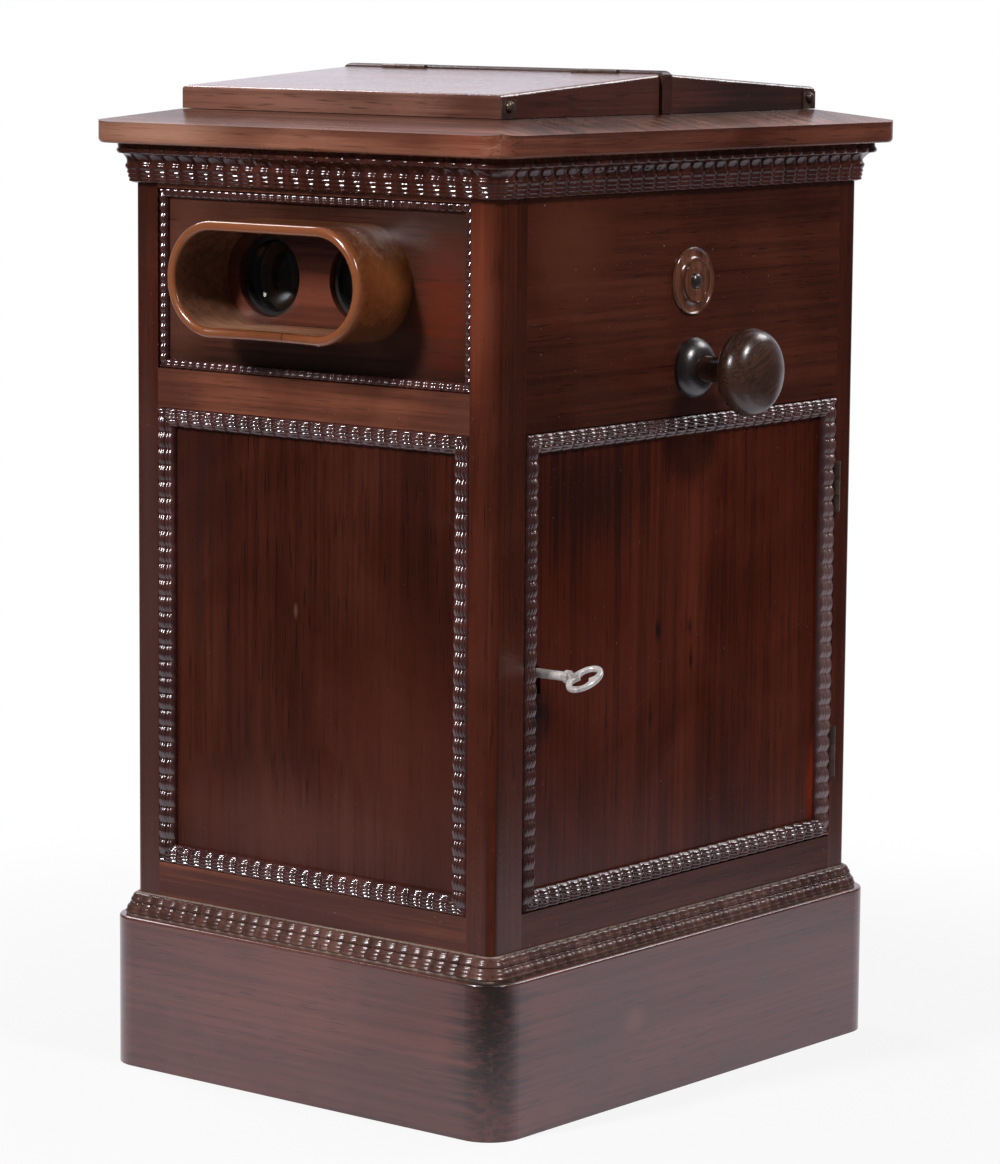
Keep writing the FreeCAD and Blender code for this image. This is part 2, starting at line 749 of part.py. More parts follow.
def build_flap(prefix, flap_hinges, to_side):
    """One wedge-shaped flap, built at the front: rim boards, sloping panel, mirror, leaves and stud."""
    _, moving_leaves, _, _, moving_beds, sweeps = flap_hinges
    front = -flap_half_depth
    back = -flap_back
    rim_front = front + flap_rim
    rim_back = back - flap_rim

    def top_at(y):
        return flap_outer_z + flap_slope * (y - front)

    side_outline = [
        (front, flap_base_z),
        (back, flap_base_z),
        (back, top_at(back)),
        (front, top_at(front)),
    ]
    inner = flap_half_width - flap_rim
    side = prism_x(side_outline, inner, flap_half_width)
    front_outline = [
        (front, flap_base_z),
        (rim_front, flap_base_z),
        (rim_front, top_at(rim_front)),
        (front, top_at(front)),
    ]
    front_board = prism_x(front_outline, -inner, inner)

    def rounded(board):
        outer_edges = []
        for edge in board.Edges:
            middle = edge.CenterOfMass
            outside = abs(middle.x - flap_half_width) < 1e-4 or abs(middle.y - front) < 1e-4
            if outside and abs(middle.z - top_at(middle.y)) < 1e-4:
                outer_edges.append(edge)
        return board.makeFillet(flap_edge_round, outer_edges)

    side = rounded(side)
    back_outline = [
        (rim_back, flap_base_z),
        (back, flap_base_z),
        (back, top_at(back)),
        (rim_back, top_at(rim_back)),
    ]
    back_board = cut_all(prism_x(back_outline, -inner, inner), moving_beds + sweeps)
    boards = (side, mirrored_x(side), rounded(front_board), back_board)
    save(prefix + "_frame", group([to_side(piece) for piece in boards]))

    panel_outline = [
        (rim_front, top_at(rim_front) - flap_panel_thickness),
        (rim_back, top_at(rim_back) - flap_panel_thickness),
        (rim_back, top_at(rim_back)),
        (rim_front, top_at(rim_front)),
    ]
    save(prefix + "_panel", to_side(prism_x(panel_outline, -inner, inner)))
    mirror_front = rim_front + mirror_margin
    mirror_back = rim_back - mirror_margin
    drop = flap_panel_thickness + mirror_thickness
    mirror_outline = [
        (mirror_front, top_at(mirror_front) - drop),
        (mirror_back, top_at(mirror_back) - drop),
        (mirror_back, top_at(mirror_back) - flap_panel_thickness),
        (mirror_front, top_at(mirror_front) - flap_panel_thickness),
    ]
    save(prefix + "_mirror", to_side(prism_x(mirror_outline, -inner + mirror_margin, inner - mirror_margin)))

    plate_middle = front + stud_plate_length / 2
    plate_top = top_at(front) - flap_edge_round - flap_seat_gap
    plate = box(
        flap_half_width,
        flap_half_width + stud_plate_thickness,
        front,
        front + stud_plate_length,
        flap_base_z,
        plate_top,
    )
    stud_z = flap_base_z + stud_rise
    stud_end = flap_half_width + stud_height
    head = rod_x(flap_half_width, stud_end, plate_middle, stud_z, stud_radius)
    outer_edges = [edge for edge in head.Edges if edge.BoundBox.XMin > stud_end - 1e-4]
    head = head.makeFillet(stud_round, outer_edges)
    stud = plate.fuse(head).removeSplitter()
    save(prefix + "_fittings", group([to_side(piece) for piece in moving_leaves[:2] + [stud]]))


def stadium(width, height, y0, y1):
    """Stadium-shaped bar along Y, centred on the lens height."""
    radius = height / 2
    straight = width / 2 - radius
    bar = box(-straight, straight, y0, y1, lens_height - radius, lens_height + radius)
    for side in (-1, 1):
        bar = bar.fuse(rod_y(y0, y1, side * straight, lens_height, radius))
    return bar.removeSplitter()


def build_eyepiece():
    """Hood with its nose relief and rounded rim, standing on the eyepiece panel."""
    rim = eyepiece_face - hood_depth
    outer = stadium(hood_width, hood_height, rim, eyepiece_face)
    inner = stadium(hood_width - 2 * hood_wall, hood_height - 2 * hood_wall, rim, eyepiece_face)
    half_chord = nose_relief_width / 2
    relief_radius = (half_chord**2 + nose_relief_depth**2) / (2 * nose_relief_depth)
    relief_y = rim + nose_relief_depth - relief_radius
    relief = rod_z(lens_height - hood_height, lens_height, 0, relief_y, relief_radius)
    hood = outer.cut(inner)
    rim_edges = [edge for edge in hood.Edges if edge.BoundBox.YMax < rim + 1e-4]
    hood = hood.makeFillet(hood_rim_radius, rim_edges)
    save("eyepiece_hood", hood.cut(relief))


def lens_solid(x):
    """Double-convex lens: two spherical faces that meet a short cylindrical edge."""
    front = lens_middle - lens_bow
    back = lens_middle + lens_bow
    lens = rod_y(front, back, x, lens_height, lens_radius)
    for centre in (front + lens_curve, back - lens_curve):
        lens = lens.common(Part.makeSphere(lens_curve, V(x, centre, lens_height)))
    return lens


def pinion_outline():
    """Involute gear outline in the YZ plane, about its own centre, with a tooth pointing up."""
    base = pinion_radius * math.cos(math.radians(pressure_angle))
    tip = pinion_radius + gear_module
    root = pinion_radius - 1.25 * gear_module
    alpha = math.radians(pressure_angle)
    half_tooth = (math.pi * gear_module / 2 - gear_backlash) / 2 / pinion_radius
    half_base = half_tooth + math.tan(alpha) - alpha
    steps = 5
    flank = []
    for step in range(steps + 1):
        radius = base + (tip - base) * step / steps
        roll = math.acos(base / radius)
        flank.append((radius, half_base - (math.tan(roll) - roll)))
    flank = [(root, half_base)] + flank
    outline = []
    for tooth in range(pinion_teeth):
        centre = math.pi / 2 - 2 * math.pi * tooth / pinion_teeth
        rising = [(radius, centre + angle) for radius, angle in flank]
        falling = [(radius, centre - angle) for radius, angle in reversed(flank)]
        outline += [(r * math.cos(a), r * math.sin(a)) for r, a in rising + falling]
    return outline


def rack_outline(y0, y1):
    """Rack bar in the YZ plane with its teeth down, a tooth space over the pinion's centre."""
    pitch = math.pi * gear_module
    lean = math.tan(math.radians(pressure_angle))
    half_tooth = (pitch / 2 - gear_backlash) / 2
    tip_z = rack_pitch_z - 0.9 * gear_module
    root_z = rack_pitch_z + 1.25 * gear_module
    half_tip = half_tooth - 0.9 * gear_module * lean
    half_root = half_tooth + 1.25 * gear_module * lean
    reach = focus_travel + 3 * pitch
    count = int(reach / pitch)
    outline = [(y0, rack_top_z), (y0, root_z)]
    for tooth in range(-count, count):
        centre = dial_depth_position + (tooth + 0.5) * pitch
        outline += [
            (centre - half_root, root_z),
            (centre - half_tip, tip_z),
            (centre + half_tip, tip_z),
            (centre + half_root, root_z),
        ]
    outline += [(y1, root_z), (y1, rack_top_z)]
    return outline


def build_focus():
    """Lens carriage with its rack, and the dial with its pinion arbor in a bracket."""
    tube_radius = lens_hole_radius - lens_tube_clearance
    tube_front = eyepiece_face + lens_tube_setback
    cells = []
    lenses = []
    for side in (-1, 1):
        x = side * lens_pitch / 2
        tube = rod_y(tube_front, lens_board_front, x, lens_height, tube_radius)
        light_way = rod_y(tube_front, lens_board_front, x, lens_height, lens_way_radius)
        seat_front = min(tube_front, lens_middle - lens_bow)
        seat = rod_y(seat_front, lens_shoulder, x, lens_height, lens_radius + push_clearance)
        cells.append(tube.cut(light_way).cut(seat))
        lenses.append(lens_solid(x))
    save("lens_cells", group(cells))
    save("lenses", group(lenses))

    bottom = lens_height - lens_board_half_height
    board_top = lens_height + lens_board_half_height
    board = box(lens_board_left, lens_board_right, lens_board_front, lens_board_back, bottom, board_top)
    ways = [
        rod_y(lens_board_front, lens_board_back, side * lens_pitch / 2, lens_height, lens_way_radius)
        for side in (-1, 1)
    ]
    save("lens_board", cut_all(board, ways))
    rack_end = dial_depth_position + focus_travel + 5 * math.pi * gear_module
    save("focus_rack", prism_x(rack_outline(lens_board_back, rack_end), gear_x0, gear_x1))

    outline = [(dial_depth_position + y, dial_height + z) for y, z in pinion_outline()]
    gear = prism_x(outline, gear_x0, gear_x1)
    dial_back = half_w + dial_panel_gap
    dial_face = dial_back + dial_thickness
    arbor_end = dial_back + arbor_depth
    arbor = rod_x(gear_x0, arbor_end, dial_depth_position, dial_height, arbor_radius)
    save("focus_pinion", gear.fuse(arbor).removeSplitter())

    hub = arbor_radius + push_clearance
    bore_end = arbor_end + arbor_end_gap
    rim_wall = (dial_back + dial_wall, dial_radius, 0)
    ring_crest = (dial_face, dial_radius - dial_ring_width / 2, 0)
    ring_edge = (dial_face - dial_ring_slope, dial_radius - dial_ring_width, 0)
    step = (ring_edge[0] - dial_step_drop, ring_edge[1] - dial_step_run, 0)
    button_foot = (step[0], dial_button_radius, 0)
    dish = (step[0] - dial_dish_sag, (step[1] + dial_button_radius) / 2, 0)
    button_curve = (dial_button_radius**2 + dial_button_rise**2) / (2 * dial_button_rise)
    button_centre = step[0] + dial_button_rise - button_curve
    foot_angle = math.asin(dial_button_radius / button_curve)
    crown_angle = math.asin(lathe_centre_radius / button_curve)

    def on_button(angle):
        return (button_centre + button_curve * math.cos(angle), button_curve * math.sin(angle), 0)

    crown = on_button(crown_angle)
    edges = [
        line((dial_back, hub, 0), (dial_back, dial_radius, 0)),
        line((dial_back, dial_radius, 0), rim_wall),
        arc(rim_wall, ring_crest, ring_edge),
        line(ring_edge, step),
        arc(step, dish, button_foot),
        arc(button_foot, on_button((foot_angle + crown_angle) / 2), crown),
        line(crown, (crown[0], 0, 0)),
        line((crown[0], 0, 0), (bore_end, 0, 0)),
        line((bore_end, 0, 0), (bore_end, hub, 0)),
        line((bore_end, hub, 0), (dial_back, hub, 0)),
    ]
    save("focus_dial", turned(edges, dial_depth_position, dial_height))

    plate_x = side_board_inner - bracket_plate
    y0 = dial_depth_position - bracket_half_length
    y1 = dial_depth_position + bracket_half_length
    lip_bottom = rack_top_z + slide_clearance
    lip_top = lip_bottom + bracket_plate
    plate = box(plate_x, side_board_inner, y0, y1, dial_height - bracket_half_length, lip_top)
    lip = box(gear_x0, plate_x, y0, y1, lip_bottom, lip_top)
    bore = rod_x(
        plate_x, side_board_inner, dial_depth_position, dial_height, arbor_radius + running_clearance
    )
    save("focus_bracket", plate.fuse(lip).cut(bore).removeSplitter())


def build_winder():
    """Winding knob, its rose, the shaft in its bushes and the roller that carries the belt."""
    y = shaft_depth_position
    z = shaft_height
    left_end = -half_w + bush_flange + 1.0
    right_end = knob_centre_x + knob_bore_depth - knob_half_thickness
    save("winder_shaft", rod_x(left_end, right_end, y, z, shaft_radius))
    roller = rod_x(-roller_half_length, roller_half_length, y, z, roller_radius)
    bore = rod_x(-roller_half_length, roller_half_length, y, z, shaft_radius + push_clearance)
    save("winder_roller", roller.cut(bore))

    right_bush = rod_x(side_board_inner, half_w, y, z, bush_radius)
    right_flange = rod_x(side_board_inner - bush_flange, side_board_inner, y, z, bush_flange_radius)
    right_bore = rod_x(side_board_inner - bush_flange, half_w, y, z, shaft_radius + running_clearance)
    left_bush = rod_x(-half_w + bush_flange, -side_board_inner, y, z, bush_radius)
    left_flange = rod_x(-side_board_inner, -side_board_inner + bush_flange, y, z, bush_flange_radius)
    left_bore = rod_x(left_end - 0.5, -side_board_inner + bush_flange, y, z, shaft_radius + running_clearance)
    bushes = [
        right_bush.fuse(right_flange).cut(right_bore).removeSplitter(),
        left_bush.fuse(left_flange).cut(left_bore).removeSplitter(),
    ]
    save("shaft_bushes", group(bushes))

    rose_bore = knob_neck_radius + knob_neck_clearance
    rose_rim = rose_thickness * 0.22
    rose_face = half_w + rose_thickness
    edges = [
        line((half_w, rose_bore, 0), (half_w, rose_radius, 0)),
        line((half_w, rose_radius, 0), (half_w + rose_rim, rose_radius, 0)),
        arc(
            (half_w + rose_rim, rose_radius, 0),
            (half_w + rose_thickness * 0.78, rose_radius * 0.78, 0),
            (rose_face, rose_bore, 0),
        ),
        line((rose_face, rose_bore, 0), (half_w, rose_bore, 0)),
    ]
    save("knob_rose", turned(edges, y, z))

    neck_start = half_w + slide_clearance
    neck_end = (rose_face + 1.0, knob_neck_radius, 0)
    bore_end = right_end + 0.5
    hub = shaft_radius + push_clearance
    rim_height = knob_radius - knob_rim_radius
    rim_lead = knob_half_thickness - knob_rim_radius
    centre_lead = (rim_height**2 - rim_lead**2) / (2 * rim_lead)
    face_radius = centre_lead + knob_half_thickness
    join_angle = math.atan2(rim_height, centre_lead)
    shoulder_angle = math.asin(knob_shoulder_radius / face_radius)
    crown_angle = math.asin(lathe_centre_radius / face_radius)

    def on_dome(angle, side):
        along = face_radius * math.cos(angle) - centre_lead
        return (knob_centre_x + side * along, face_radius * math.sin(angle), 0)

    shoulder = on_dome(shoulder_angle, -1)
    throat = ((neck_end[0] + shoulder[0]) / 2, knob_neck_radius, 0)
    crown = on_dome(crown_angle, 1)
    edges = [
        line((neck_start, hub, 0), (neck_start, knob_neck_radius, 0)),
        line((neck_start, knob_neck_radius, 0), neck_end),
        arc(neck_end, throat, shoulder),
        arc(shoulder, on_dome((shoulder_angle + join_angle) / 2, -1), on_dome(join_angle, -1)),
        arc(on_dome(join_angle, -1), (knob_centre_x, knob_radius, 0), on_dome(join_angle, 1)),
        arc(on_dome(join_angle, 1), on_dome((crown_angle + join_angle) / 2, 1), crown),
        line(crown, (crown[0], 0, 0)),
        line((crown[0], 0, 0), (bore_end, 0, 0)),
        line((bore_end, 0, 0), (bore_end, hub, 0)),
        line((bore_end, hub, 0), (neck_start, hub, 0)),
    ]
    save("winder_knob", turned(edges, y, z))


def racetrack(radius, x_half):
    """Solid under a belt: round over the roller and round again at the bottom of the loop."""
    y = shaft_depth_position
    body = box(-x_half, x_half, y - radius, y + radius, belt_bottom, shaft_height)
    for z in (belt_bottom, shaft_height):
        body = body.fuse(rod_x(-x_half, x_half, y, z, radius))
    return body.removeSplitter()


def holder_and_card(tilt):
    """One card in its folded tin holder, hanging in front of the belt from the origin, as two solids.

    The holder's root stands on the belt's face (y = 0) and the card hangs down and outwards (-Y).
    """
    half_slot = card_thickness / 2 + push_clearance
    half_holder = half_slot + holder_wall
    channel = box(-holder_half_width, holder_half_width, -half_holder, half_holder, -holder_height, 0)
    slot = box(
        -holder_half_width, holder_half_width, -half_slot, half_slot, -holder_height, -holder_seat
    )
    card = box(
        -card_width / 2,
        card_width / 2,
        -card_thickness / 2,
        card_thickness / 2,
        -holder_seat - card_height,
        -holder_seat,
    )
    channel = channel.cut(slot)
    for piece in (channel, card):
        piece.rotate(ORIGIN, AXIS_X, -tilt)
        piece.translate(V(0, -holder_stand_off, 0))
    root = box(-holder_half_width, holder_half_width, -holder_stand_off, 0, -holder_seat / 2, holder_seat / 2)
    return channel.fuse(root).removeSplitter(), card


def build_belt():
    """Endless belt over the roller, with its card holders and plain view cards."""
    inner = roller_radius + belt_clearance
    outer = inner + belt_thickness
    save("card_belt", racetrack(outer, belt_half_width).cut(racetrack(inner, belt_half_width)))
    holders = []
    cards = []
    holder, card = holder_and_card(hanging_card_tilt)
    for index in range(hanging_cards_per_run):
        z = hanging_card_top - index * hanging_card_pitch
        for piece, pile in ((holder, holders), (card, cards)):
            front = piece.copy()
            front.translate(V(0, -outer, z))
            back = mirrored_y(front)
            for copy in (front, back):
                copy.translate(V(0, shaft_depth_position, 0))
                pile.append(copy)
    upright_base = shaft_height + outer
    half_slot = card_thickness / 2 + push_clearance
    half_holder = half_slot + holder_wall
    channel = box(
        -holder_half_width,
        holder_half_width,
        card_y - half_holder,
        card_y + half_holder,
        upright_base,
        upright_base + holder_height,
    )
    slot = box(
        -holder_half_width,
        holder_half_width,
        card_y - half_slot,
        card_y + half_slot,
        upright_base + holder_seat / 2,
        upright_base + holder_height,
    )
    holders.append(channel.cut(slot).cut(racetrack(outer, holder_half_width)))
    card_bottom = upright_base + holder_seat / 2
    cards.append(
        box(
            -card_width / 2,
            card_width / 2,
            card_y - card_thickness / 2,
            card_y + card_thickness / 2,
            card_bottom,
            card_bottom + card_height,
        )
    )
    save("card_holders", group(holders))
    save("view_cards", group(cards))

    front = lens_board_back + septum_front_gap
    back = card_y - septum_card_gap
    shelf = lens_height + lens_board_half_height + slide_clearance * 10
    outline = [
        (front, septum_bottom),
        (back, septum_bottom),
        (back, carcase_top),
        (rail_back, carcase_top),
        (rail_back, max(shelf, upper_opening_top)),
        (front, max(shelf, upper_opening_top)),
    ]
    save("septum", prism_x(outline, -septum_thickness / 2, septum_thickness / 2))


def build_door(door_hinges):
    """Door panel with its moulding and hinge leaves, its lock, bolt and keeper, and the key."""
    _, moving_leaves, _, _, moving_beds, sweeps = door_hinges
    panel = box(door_inner, door_face, door_front, door_back, door_bottom, door_top)
    keyhole = rod_x(door_inner, door_face, keyhole_y, keyhole_height, keyhole_radius)
    slot = box(
        door_inner,
        door_face,
        keyhole_y - keyhole_slot_width / 2,
        keyhole_y + keyhole_slot_width / 2,
        keyhole_height - keyhole_slot_drop,
        keyhole_height,
    )
    save("door_panel", cut_all(panel, moving_beds + sweeps + [keyhole, slot]))
    save("door_hinge_leaves", group(moving_leaves))
    strip = strip_section(panel_strip_width, panel_strip_height)
    frame = mitred_frame(
        strip, panel_strip_width, panel_strip_height, door_back - door_front, door_top - door_bottom
    )
    middle_y = (door_back + door_front) / 2
    middle_z = (door_top + door_bottom) / 2
    placed = [on_face(piece, 1, middle_y, door_face, middle_z) for piece in frame]
    save("door_moulding", group([cut_all(piece, moving_beds + sweeps) for piece in placed]))

    case_front = door_front + lock_case_edge_gap
    case_back = case_front + lock_case_length
    case_inner = door_inner - lock_case_depth
    case_bottom = keyhole_height - lock_case_height / 2
    case_top = keyhole_height + lock_case_height / 2
    case = box(case_inner, door_inner, case_front, case_back, case_bottom, case_top)
    hollow = box(
        case_inner + lock_case_wall,
        door_inner,
        case_front + lock_case_wall,
        case_back - lock_case_wall,
        case_bottom + lock_case_wall,
        case_top - lock_case_wall,
    )
    bolt_x0 = case_inner + lock_case_wall + slide_clearance
    bolt_x1 = bolt_x0 + bolt_thickness
    bolt_top = keyhole_height + bolt_rise + bolt_height / 2
    bolt_bottom = bolt_top - bolt_height
    mouth = box(
        bolt_x0 - slide_clearance,
        bolt_x1 + slide_clearance,
        case_front,
        case_front + lock_case_wall,
        bolt_bottom - slide_clearance,
        bolt_top + slide_clearance,
    )
    pin_start = case_inner + lock_case_wall
    pin_end = pin_start + key_pin_length
    key_pin = rod_x(pin_start, pin_end, keyhole_y, keyhole_height, key_pin_radius)
    save("lock_case", case.cut(hollow).cut(mouth).fuse(key_pin).removeSplitter())
    save("lock_bolt", box(bolt_x0, bolt_x1, case_front, case_front + bolt_length, bolt_bottom, bolt_top))
    keeper_z = (bolt_bottom + bolt_top) / 2
    save(
        "lock_keeper",
        box(
            bolt_x1 + slide_clearance,
            stile_inner,
            front_post_back - keeper_length,
            front_post_back,
            keeper_z - keeper_height / 2,
            keeper_z + keeper_height / 2,
        ),
    )

    shank_start = pin_start + slide_clearance
    shank_end = half_w + key_reach
    shank = rod_x(shank_start, shank_end, 0, 0, key_shank_radius)
    barrel = rod_x(shank_start, pin_end + slide_clearance, 0, 0, key_pin_radius + running_clearance)
    bit_start = bolt_x1 + key_bit_gap
    bit = box(
        bit_start,
        bit_start + key_bit_length,
        -key_bit_thickness / 2,
        key_bit_thickness / 2,
        -key_bit_drop,
        0,
    )
    bow_x = shank_end + key_bow_length / 2 - key_bow_wire / 2
    half_thick = key_bow_thickness / 2
    bow = elliptic_bar(bow_x, key_bow_length / 2, key_bow_width / 2, half_thick)
    lobe_radius = key_bow_width / 2 - key_bow_wire - key_eye_spread
    lobes = [rod_y(-half_thick, half_thick, bow_x, side * key_eye_spread, lobe_radius) for side in (-1, 1)]
    eye = lobes[0].fuse(lobes[1]).removeSplitter()
    ring = bow.cut(eye)
    ring_edges = [edge for edge in ring.Edges if abs(abs(edge.BoundBox.YMin) - half_thick) < 1e-4]
    ring = ring.makeFillet(key_bow_thickness * 0.3, ring_edges)
    collar = rod_x(shank_end - 2 * key_collar_length, shank_end - key_collar_length, 0, 0, key_collar_radius)
    key = shank.cut(eye).fuse(bit).cut(barrel).fuse(collar).fuse(ring).removeSplitter()
    key.rotate(ORIGIN, AXIS_X, key_rest_turn)
    key.translate(V(0, keyhole_y, keyhole_height))
    save("key", key)


def elliptic_bar(x, half_x, half_z, half_thick):
    """Flat elliptic plate in the XZ plane, centred on y = 0."""
    if half_z > half_x:
        ellipse = Part.Ellipse(V(x, -half_thick, half_z), V(x + half_x, -half_thick, 0), V(x, -half_thick, 0))
    else:
        ellipse = Part.Ellipse(V(x + half_x, -half_thick, 0), V(x, -half_thick, half_z), V(x, -half_thick, 0))
    return Part.Face(Part.Wire([ellipse.toShape()])).extrude(V(0, 2 * half_thick, 0))


def main():
    """Build every node and write it to its own file."""
    os.makedirs("parts", exist_ok=True)
    door_hinges = placed_door_hinges()
    flap_hinges = placed_flap_hinges()
    build_plinth()
    build_carcase(door_hinges)
    build_top(flap_hinges)
    build_flap("front_flap", flap_hinges, lambda piece: piece)
    build_flap("rear_flap", flap_hinges, mirrored_y)
    build_eyepiece()
    build_focus()
    build_winder()
    build_belt()
    build_door(door_hinges)


main()
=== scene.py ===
"""Dresses the tabletop cabinet stereoscope: ripple mouldings, hood, finishes, studio and camera.

Metres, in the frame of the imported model: +Z is up, the eyepiece faces -Y, the door is on the +X side.
The pieces' sizes are millimetres, which the mesh helpers turn into metres. A piece takes its place and
most of its outer sizes from the box round the node that it stands for.
"""
from __future__ import annotations

import logging
import math
from dataclasses import dataclass, field
from enum import Enum

import bpy
import numpy as np
from mathutils import Matrix, Vector


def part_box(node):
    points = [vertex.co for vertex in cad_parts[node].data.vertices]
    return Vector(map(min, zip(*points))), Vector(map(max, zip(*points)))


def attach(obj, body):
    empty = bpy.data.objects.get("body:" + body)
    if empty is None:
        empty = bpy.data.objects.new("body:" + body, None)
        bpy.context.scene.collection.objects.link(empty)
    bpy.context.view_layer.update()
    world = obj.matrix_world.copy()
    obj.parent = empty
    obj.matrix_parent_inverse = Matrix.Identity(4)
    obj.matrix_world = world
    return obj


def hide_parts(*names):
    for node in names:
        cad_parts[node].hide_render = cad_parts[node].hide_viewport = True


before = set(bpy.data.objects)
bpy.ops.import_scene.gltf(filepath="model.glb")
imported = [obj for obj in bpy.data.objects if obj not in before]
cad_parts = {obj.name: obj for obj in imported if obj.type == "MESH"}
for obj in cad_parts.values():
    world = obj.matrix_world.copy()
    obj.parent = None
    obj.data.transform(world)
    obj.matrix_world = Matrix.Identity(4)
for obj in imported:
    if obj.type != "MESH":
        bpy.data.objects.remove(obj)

LOG = logging.getLogger("stereoscope")
MM = 0.001
FULL_TURN = 2.0 * math.pi
SHARP = math.radians(70.0)
WHITE = (1.0, 1.0, 1.0, 1.0)
VALLEY_ROUNDING = 0.01

Pair = tuple[float, float]
Triple = tuple[float, float, float]
Socket = bpy.types.NodeSocket

RIGHT: Triple = (1.0, 0.0, 0.0)
LEFT: Triple = (-1.0, 0.0, 0.0)
FRONT: Triple = (0.0, -1.0, 0.0)
BACK: Triple = (0.0, 1.0, 0.0)


def linear(colour: Triple) -> tuple[float, float, float, float]:
    """Turns a colour of 0 to 255, as seen on a screen, into the linear colour that shaders take.

    The screen's curve is a straight line near black and a power above it.

    Args:
        colour: red, green and blue from 0 to 255.

    Returns:
        The linear red, green and blue from 0 to 1, and an alpha of 1.
    """
    share = np.asarray(colour, float) / 255.0
    low = share / 12.92
    high = ((share + 0.055) / 1.055) ** 2.4
    red, green, blue = np.where(share <= 0.04045, low, high)
    return float(red), float(green), float(blue), 1.0


class Grain(Enum):
    """The axis that the grain of a board runs along, or boards that run round the cabinet."""

    ALONG_X = 0
    ALONG_Y = 1
    ALONG_Z = 2
    AROUND = 3

    def stretch(self, across: float, along: float) -> Triple:
        """Scale of a pattern that is fine across the grain and long along it."""
        return tuple(along if axis == self.value else across for axis in range(3))


class NodeTree:
    """Short calls for the nodes of the world or of one material."""

    def __init__(self, owner: bpy.types.World | bpy.types.Material, coordinates: str) -> None:
        """Takes over the nodes of their owner.

        Args:
            owner: the world or the material.
            coordinates: name of the coordinates that its patterns follow.
        """
        owner.use_nodes = True
        self.nodes = owner.node_tree.nodes
        self.links = owner.node_tree.links
        self.source = self.nodes.new("ShaderNodeTexCoord")
        self.place = self.source.outputs[coordinates]

    def give(self, target: Socket, value: object) -> None:
        """Links a socket to an input, or sets the input to a constant.

        Args:
            target: the input.
            value: an output of another node, or a number, a vector or a colour.
        """
        if isinstance(value, Socket):
            self.links.new(value, target)
        else:
            target.default_value = value

    def node(self, kind: str, inputs: dict[int | str, object], **settings: object) -> bpy.types.Node:
        """Adds one node.

        Args:
            kind: its type, without the words that every type starts with.
            inputs: sockets or constants for its inputs, by name or number.
            settings: its own settings, which are set before the inputs.

        Returns:
            The node.
        """
        node = self.nodes.new("ShaderNode" + kind)
        for name, value in settings.items():
            setattr(node, name, value)
        for name, value in inputs.items():
            self.give(node.inputs[name], value)
        return node

    def towards(self, way: Triple) -> Socket:
        """How far the place lies along a direction."""
        return self.node("VectorMath", {0: self.place, 1: way}, operation="DOT_PRODUCT").outputs["Value"]

    def span(self, value: Socket, start: float, end: float, low: float = 0.0, high: float = 1.0) -> Socket:
        """Carries a value from the span start to end smoothly to the span low to high."""
        inputs = {"Value": value, "From Min": start, "From Max": end, "To Min": low, "To Max": high}
        return self.node("MapRange", inputs, interpolation_type="SMOOTHSTEP").outputs["Result"]

    def worked(self, way: str, first: Socket, second: Socket | float) -> Socket:
        """One step of arithmetic on two values."""
        return self.node("Math", {0: first, 1: second}, operation=way).outputs[0]

    def larger(self, first: Socket, second: Socket) -> Socket:
        """The larger of two values."""
        return self.worked("MAXIMUM", first, second)

    def mixed(self, share: object, first: object, second: object, way: str = "MIX") -> Socket:
        """Mixes two colours, each a socket or a linear colour, by the share of the second one."""
        # A mix node repeats its names for each type, so the inputs for colours go by number.
        inputs = {0: share, 6: first, 7: second}
        return self.node("Mix", inputs, data_type="RGBA", blend_type=way).outputs[2]

    def show(self, output: str, share: Socket, first: Socket, second: Socket) -> None:
        """Shows a mix of two shaders at the named output, by the share of the second one."""
        mix = self.node("MixShader", {0: share, 1: first, 2: second})
        self.links.new(mix.outputs[0], self.nodes[output].inputs["Surface"])


